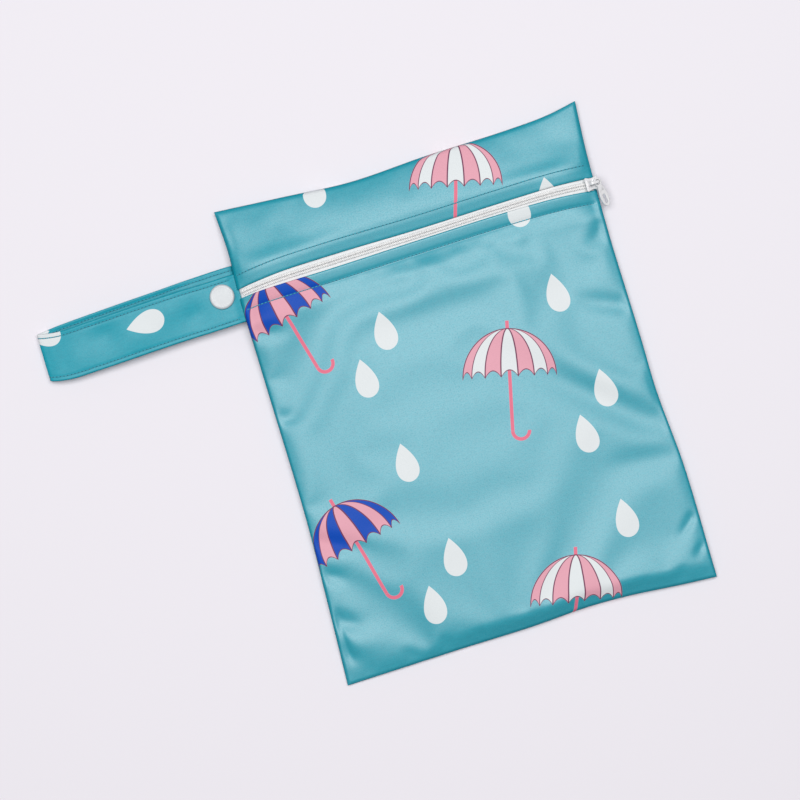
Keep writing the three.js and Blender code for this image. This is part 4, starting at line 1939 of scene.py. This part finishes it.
        widest = along(0.45)
        shoulder = bend((along(0.0), -neck), (along(0.2), -neck), (along(0.25), -half), (widest, -half))
        tip = bend((widest, -half), (along(0.75), -half), (far, -0.6 * half), (far, 0))
        edge = np.concatenate([shoulder[:-1], tip])
        leaf = np.concatenate([edge, edge[-2::-1] * (1, -1)])
        eye = arc((0, 0), self.eye_radius, self.eye_open, 360 - self.eye_open, 28)
        outer = np.concatenate([eye, leaf])
        hole = arc((0, 0), self.eye_hole, 0, 360, 24)[:-1]
        near, end = map(along, self.slot_run)
        slot = np.concatenate(
            [arc((near, 0), self.slot_half, 90, 270), arc((end, 0), self.slot_half, -90, 90)]
        )
        base = plate([outer, hole, slot], self.dish_share * self.pull_thickness, self.dish_bevel)
        rim_hole = (leaf - (widest, 0)) * self.dish + (widest + self.dish_shift, 0)
        rim = plate([outer, hole, rim_hole], self.pull_thickness, self.rim_bevel)
        piece = joined(name, [rim, base])
        mesh = piece.data
        points = np.zeros(len(mesh.vertices) * 3)
        mesh.vertices.foreach_get("co", points)
        points = points.reshape(-1, 3)
        past = np.maximum(points[:, 0] - (self.neck_reach - self.bend_back) * MM, 0)
        points[:, 2] -= past * math.tan(math.radians(self.pull_bend))
        mesh.vertices.foreach_set("co", points.ravel())
        droop = Matrix.Rotation(math.radians(self.pull_droop), 4, "Y")
        turn = Matrix.Rotation(math.radians(self.pull_turn), 4, "Z")
        mesh.transform(self.rest() @ Matrix.Translation(self.eye()) @ turn @ droop)
        return piece


@dataclass
class Strap:
    """The wrist strap: one folded band, its stitches and the snap that holds its two layers."""

    width: float = 24.6
    thickness: float = 1.3
    edge_round: float = 0.55
    edge_draw: float = 0.15
    edge_stitch: float = 2.2
    stitch_draw: float = 0.2
    stitch_width: float = 0.7
    sewn_in: int = 8
    route: tuple[tuple[float, float, float], ...] = (
        (-89.5, 77.7, 5.2), (-93.2, 77.7, 5.2), (-95.4, 77.7, 5.9), (-97.6, 77.6, 6.6),
        (-101.7, 77.5, 6.7), (-108.5, 77.3, 6.7), (-122.0, 77.1, 7.3), (-138.0, 76.6, 7.6),
        (-155.0, 75.9, 7.4), (-172.0, 75.3, 6.6), (-185.0, 75.1, 5.4), (-193.0, 76.2, 4.1),
        (-195.8, 77.0, 3.1), (-195.8, 77.1, 1.8), (-193.0, 77.5, 0.9), (-185.0, 78.2, 0.8),
        (-170.0, 79.1, 0.8), (-150.0, 80.1, 0.8), (-130.0, 81.0, 0.9), (-115.0, 81.8, 1.6),
        (-108.5, 82.0, 2.5), (-101.7, 82.2, 2.5), (-95.6, 82.3, 2.35), (-93.2, 82.3, 1.75),
    )
    ripples: tuple[tuple[float, float, float, float, float], ...] = (
        (27.0, -2.0, 7.0, 6.0, -1.2),
        (41.0, 5.0, 9.0, 7.0, 0.8),
        (58.0, -3.0, 11.0, 7.0, 0.8),
        (74.0, 3.0, 8.0, 6.0, -1.2),
        (90.0, -4.0, 7.0, 7.0, 0.6),
    )
    roll: float = 0.1
    roll_run: tuple[float, float, float, float] = (14.0, 34.0, 84.0, 104.0)
    curl: float = 2.2
    curl_run: tuple[float, float, float, float] = (108.0, 122.0, 178.0, 196.0)
    stations: int = 240
    columns: int = 44
    snap: tuple[float, float] = (-101.7, 80.6)
    snap_radius: float = 6.2
    snap_thickness: float = 1.4
    cap_low: float = 0.1
    cap_high: float = 7.7
    cap_sides: int = 64
    cap_profile: Table = (
        (0.93, 0.0), (0.975, 0.05), (1.0, 0.25), (0.995, 0.45), (0.97, 0.66), (0.93, 0.82), (0.87, 0.92),
        (0.8, 0.95), (0.74, 0.9), (0.68, 0.86), (0.5, 0.93), (0.25, 0.98), (0.0, 1.0),
    )
    post_radius: float = 1.5
    post_past: float = 0.4
    post_chamfer: float = 0.1
    core: tuple[float, float, float] = (3.6, 3.5, 5.7)
    core_sides: int = 40
    core_chamfer: float = 0.2
    core_groove: float = 0.15

    def middle(self) -> tuple[Array, Array]:
        """Follows the strap's middle line.

        Returns:
            Points along it, and the direction out of its upper face at each.
        """
        knots = np.array(self.route)
        run = run_along(knots)
        at = np.linspace(0, run[-1], self.stations)
        line = np.stack([curve_through(list(zip(run, knots[:, k])))(at) for k in range(3)], axis=1)
        heading = np.gradient(line, axis=0)
        out = np.stack([heading[:, 2], np.zeros(len(line)), -heading[:, 0]], axis=1)
        return line, out / np.linalg.norm(out, axis=1, keepdims=True)

    def band(self, name: str) -> bpy.types.Object:
        """Makes the folded band, soft at its edges and drawn in along its edge stitches.

        Args:
            name: The piece's name.

        Returns:
            The piece.
        """
        line, out = self.middle()
        half = self.width / 2
        across = np.linspace(-1, 1, self.columns)
        across = across * (1 + self.edge_draw - self.edge_draw * across**2)
        aside = -across * half
        from_edge = half - np.abs(aside)
        inward = np.clip(from_edge / self.edge_round, 0, 1)
        swell = np.sqrt(inward * (2 - inward))
        drawn = self.stitch_draw * np.exp(-(((from_edge - self.edge_stitch) / self.stitch_width) ** 2))
        depth = self.thickness / 2 * swell - drawn
        ring_y = np.concatenate([aside, aside[-2:0:-1]])
        ring_z = np.concatenate([depth, -depth[-2:0:-1]])
        run = run_along(line)
        stand = ring_z[None, :] + self.ripple(run[:, None], ring_y[None, :])
        points = line[:, None] + out[:, None] * stand[:, :, None]
        points[:, :, 1] += ring_y
        count, sides = points.shape[:2]
        at = np.arange(count * sides).reshape(count, sides)
        after = np.roll(at, -1, axis=1)
        walls = np.stack([at[:-1], at[1:], after[1:], after[:-1]], axis=2).reshape(-1, 4).tolist()
        mesh = mesh_from(points.reshape(-1, 3), walls + [at[0].tolist(), at[-1, ::-1].tolist()])
        cut = np.stack(np.broadcast_arrays(run[:, None], ring_y[None, :]), axis=2)
        lay_cut(mesh, cut.reshape(-1, 2))
        return new_piece(name, mesh)

    def ripple(self, run: Array, aside: Array) -> Array:
        """Gives the soft unevenness of the upper layer and the curled edge of the lower one.

        Args:
            run: Distance along the strap from its sewn end.
            aside: Distance from the strap's middle line.

        Returns:
            Distances out of the band's outer face, in millimetres.
        """
        uneven = sum(
            rise * np.exp(-(((run - at) / length) ** 2) - ((aside - off) / width) ** 2)
            for at, off, length, width, rise in self.ripples
        )
        rolling, curling = (
            smoothstep(run, start, full) * (1 - smoothstep(run, going, gone))
            for start, full, going, gone in (self.roll_run, self.curl_run)
        )
        rolled = rolling * self.roll * aside
        curled = curling * self.curl * np.clip(aside / (self.width / 2), 0, 1) ** 2
        return uneven + rolled - curled

    def stitch_lines(self) -> list[Array]:
        """Follows the edge stitches on both faces of the band.

        Returns:
            Lines of points, each count by 3.
        """
        line, out = self.middle()
        run = run_along(line)
        lines = []
        for side in Side:
            aside = side.value * (self.width / 2 - self.edge_stitch)
            ripple = self.ripple(run, np.full(len(run), aside))
            for face in Side:
                stand = face.value * (self.thickness / 2 - self.stitch_draw) + ripple
                edge = line + out * stand[:, None]
                edge[:, 1] += aside
                lines.append(edge[self.sewn_in :])
        return lines

    def cap(self, name: str, front: bool) -> bpy.types.Object:
        """Makes a snap cap with a soft rim and a slightly dished face.

        Args:
            name: The piece's name.
            front: Whether it is the cap on the upper side.

        Returns:
            The piece.
        """
        radius, chamfer, foot = self.post_radius, self.post_chamfer, -(self.thickness + self.post_past)
        post = [(0, foot), (radius - chamfer, foot), (radius, foot + chamfer), (radius, 0)]
        head = [(across * self.snap_radius, up * self.snap_thickness) for across, up in self.cap_profile]
        mesh = turned(post + head, self.cap_sides)
        if not front:
            mesh.transform(Matrix.Rotation(math.pi, 4, "X"))
        height = self.cap_high if front else self.cap_low + self.snap_thickness
        mesh.transform(Matrix.Translation(Vector((*self.snap, height)) * MM))
        return new_piece(name, mesh)

    def core_ring(self, name: str) -> bpy.types.Object:
        """Makes the socket and stud between the strap's layers, as one turned piece.

        Args:
            name: The piece's name.

        Returns:
            The piece.
        """
        r, low, high = self.core
        middle, chamfer, groove = (low + high) / 2, self.core_chamfer, self.core_groove
        profile = [
            (0, low), (0.9 * r, low), (r, low + chamfer), (r, middle - groove), (0.92 * r, middle),
            (r, middle + groove), (r, high - chamfer), (0.9 * r, high), (0, high),
        ]
        mesh = turned(profile, self.core_sides)
        mesh.transform(Matrix.Translation(Vector((*self.snap, 0)) * MM))
        return new_piece(name, mesh)


# Stage


@dataclass(frozen=True)
class Studio:
    """Floor, lights and the camera straight above."""

    aim: tuple[float, float] = (-31.35, 5.96)
    turn: float = -16.6
    height: float = 1.15
    frame_width: float = 0.4
    object_level: float = 0.005
    sensor: float = 36.0
    floor_colour: Colour = (0.80, 0.775, 0.83)
    floor_reach: float = 3000.0
    light_size: tuple[float, float] = (2.15, 1.45)
    light_power: float = 43.5
    light_colour: Colour = (1.0, 0.99, 0.97)
    light_at: tuple[float, float, float] = (0.0, 0.32, 1.9)
    light_tilt: float = -13.0
    sky_colour: Colour = (0.93, 0.94, 1.0)
    sky_strength: float = 0.2

    def camera(self) -> None:
        """Puts the camera above the pouch."""
        data = bpy.data.cameras.new("camera")
        data.sensor_width = self.sensor
        data.lens = self.sensor * (self.height - self.object_level) / self.frame_width
        camera = bpy.data.objects.new("camera", data)
        camera.location = (self.aim[0] * MM, self.aim[1] * MM, self.height)
        camera.rotation_euler = (0.0, 0.0, math.radians(self.turn))
        bpy.context.scene.collection.objects.link(camera)
        bpy.context.scene.camera = camera

    def floor(self) -> None:
        """Lays the pale floor."""
        corners = oblong((-self.floor_reach,) * 2, (self.floor_reach,) * 2)
        mesh = mesh_from(np.column_stack([corners, np.zeros(4)]), [[0, 1, 2, 3]])
        floor = new_piece("floor", mesh, smooth=False)
        finish = Finish("pale_floor")
        finish.set(Base_Color=(*self.floor_colour, 1.0), Roughness=0.9, Specular_IOR_Level=0.1)
        floor.data.materials.append(finish.material)
        floor.visible_glossy = False

    def lights(self) -> None:
        """Hangs a broad soft light overhead and a faint fill all round."""
        data = bpy.data.lights.new("overhead", "AREA")
        data.shape = "RECTANGLE"
        data.size, data.size_y = self.light_size
        data.energy = self.light_power
        data.color = self.light_colour
        light = bpy.data.objects.new("overhead", data)
        light.location = self.light_at
        light.rotation_euler = (math.radians(self.light_tilt), 0.0, 0.0)
        bpy.context.scene.collection.objects.link(light)
        world = bpy.data.worlds.new("studio")
        world.use_nodes = True
        sky = world.node_tree.nodes["Background"]
        sky.inputs["Color"].default_value = (*self.sky_colour, 1.0)
        sky.inputs["Strength"].default_value = self.sky_strength
        bpy.context.scene.world = world
        bpy.context.scene.view_settings.view_transform = "Standard"

    def build(self) -> None:
        """Sets up everything round the pouch."""
        self.camera()
        self.floor()
        self.lights()


# Putting it together


@dataclass
class Workshop:
    """Dresses pieces and hangs them on the frame."""

    pieces: list[str] = field(default_factory=list)

    def dress(
        self,
        piece: bpy.types.Object,
        finish: bpy.types.Material,
        node: str = "",
        body: str = BAG,
    ) -> bpy.types.Object:
        """Gives a piece its finish, its body and the node that it stands for.

        Args:
            piece: The piece.
            finish: Its material.
            node: The frame's node that it replaces, if any.
            body: The body that it moves with.

        Returns:
            The piece.
        """
        if not piece.data.materials:
            piece.data.materials.append(None)
        piece.data.materials[0] = finish
        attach(piece, body)
        if node:
            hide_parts(node)
        self.pieces.append(piece.name)
        LOG.info("%s: %d faces, on %s", piece.name, len(piece.data.polygons), body)
        return piece


def main() -> None:
    """Builds the pouch around the frame."""
    logging.basicConfig(level=logging.INFO, format="%(name)s: %(message)s")
    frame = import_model()
    Studio().build()

    form = PouchForm()
    weave, grain, motif = satin_weave(), fine_grain(), RainyPrint().group()
    ground, deep = (0.008, 0.337, 0.438), (0.005, 0.302, 0.399)
    satins = (
        SatinCloth("front_satin", ground, deep, offset=(20.0, 32.0)),
        SatinCloth("header_satin", ground, deep, offset=(19.5, 59.2), gloss=0.87),
        SatinCloth("back_satin", ground, deep, offset=(10.0, 70.0)),
        SatinCloth("strap_satin", ground, deep, offset=(91.0, -16.0), turn=90.0, gloss=0.33),
    )
    front_satin, header_satin, back_satin, strap_satin = (cloth.material(weave, motif) for cloth in satins)
    tape = WovenTape().material()
    grained = (
        HardFinish("white_nylon", (0.88, 0.88, 0.88), (0.84, 0.84, 0.85), roughness=0.55),
        HardFinish("white_enamel", (0.78, 0.78, 0.80), (0.70, 0.71, 0.73), roughness=0.28, coat=0.4),
        HardFinish("snap_gloss", (0.55, 0.58, 0.61), (0.52, 0.55, 0.58), roughness=0.25, coat=0.2),
        SewingThread("teal_thread", (0.03, 0.38, 0.48), (0.015, 0.29, 0.39)),
        # Its dark colours are painted shade in the needle's pricks between the stitches
        SewingThread("needle_prick_painted_shade", (0.010, 0.16, 0.23), (0.005, 0.11, 0.17)),
    )
    nylon, enamel, plastic, thread, prick_shade = (surface.material(grain) for surface in grained)

    shop = Workshop()
    slack = SlackSheet(form)
    slack.settle()
    pouch = Pouch(form, slack)
    front, header = pouch.panel("front_cloth", Side.LOWER), pouch.panel("header_cloth", Side.UPPER)
    back = pouch.back_panel("back_cloth")
    shop.dress(front, front_satin, "front_panel")
    shop.dress(header, header_satin, "header_panel")
    shop.dress(back, back_satin, "back_panel")
    stitching = Stitching()
    for side in Side:
        row = stitching.piece(f"zip_stitches_{side.name.lower()}", [pouch.stitch_line(side)], prick_shade)
        shop.dress(row, thread)

    zipper = Zip(form, pouch)
    for side in Side:
        label = side.name.lower()
        woven = shop.dress(zipper.tape(f"tape_{label}", side), tape, f"zip_tape_{label}")
        shop.dress(zipper.coil(f"coil_{label}", side), nylon, f"zip_coil_{label}")

    swivel = frame["joints"][0]
    slider = Slider(Vector(swivel["pos_m"]), Vector(swivel["axis"]))
    shop.dress(slider.body("slider_body"), enamel, "zip_slider")
    shop.dress(slider.pull("pull_leaf"), enamel, "zip_pull", PULL)

    strap = Strap()
    band = shop.dress(strap.band("strap_band"), strap_satin, "wrist_strap")
    shop.dress(stitching.piece("strap_stitches", strap.stitch_lines(), prick_shade), thread)
    shop.dress(strap.cap("cap_front", True), plastic, "snap_cap_front")
    shop.dress(strap.core_ring("core_ring"), plastic, "snap_core")
    shop.dress(strap.cap("cap_back", False), plastic, "snap_cap_back")

    LOG.info("%d pieces", len(shop.pieces))


if __name__ == "__main__":
    main()
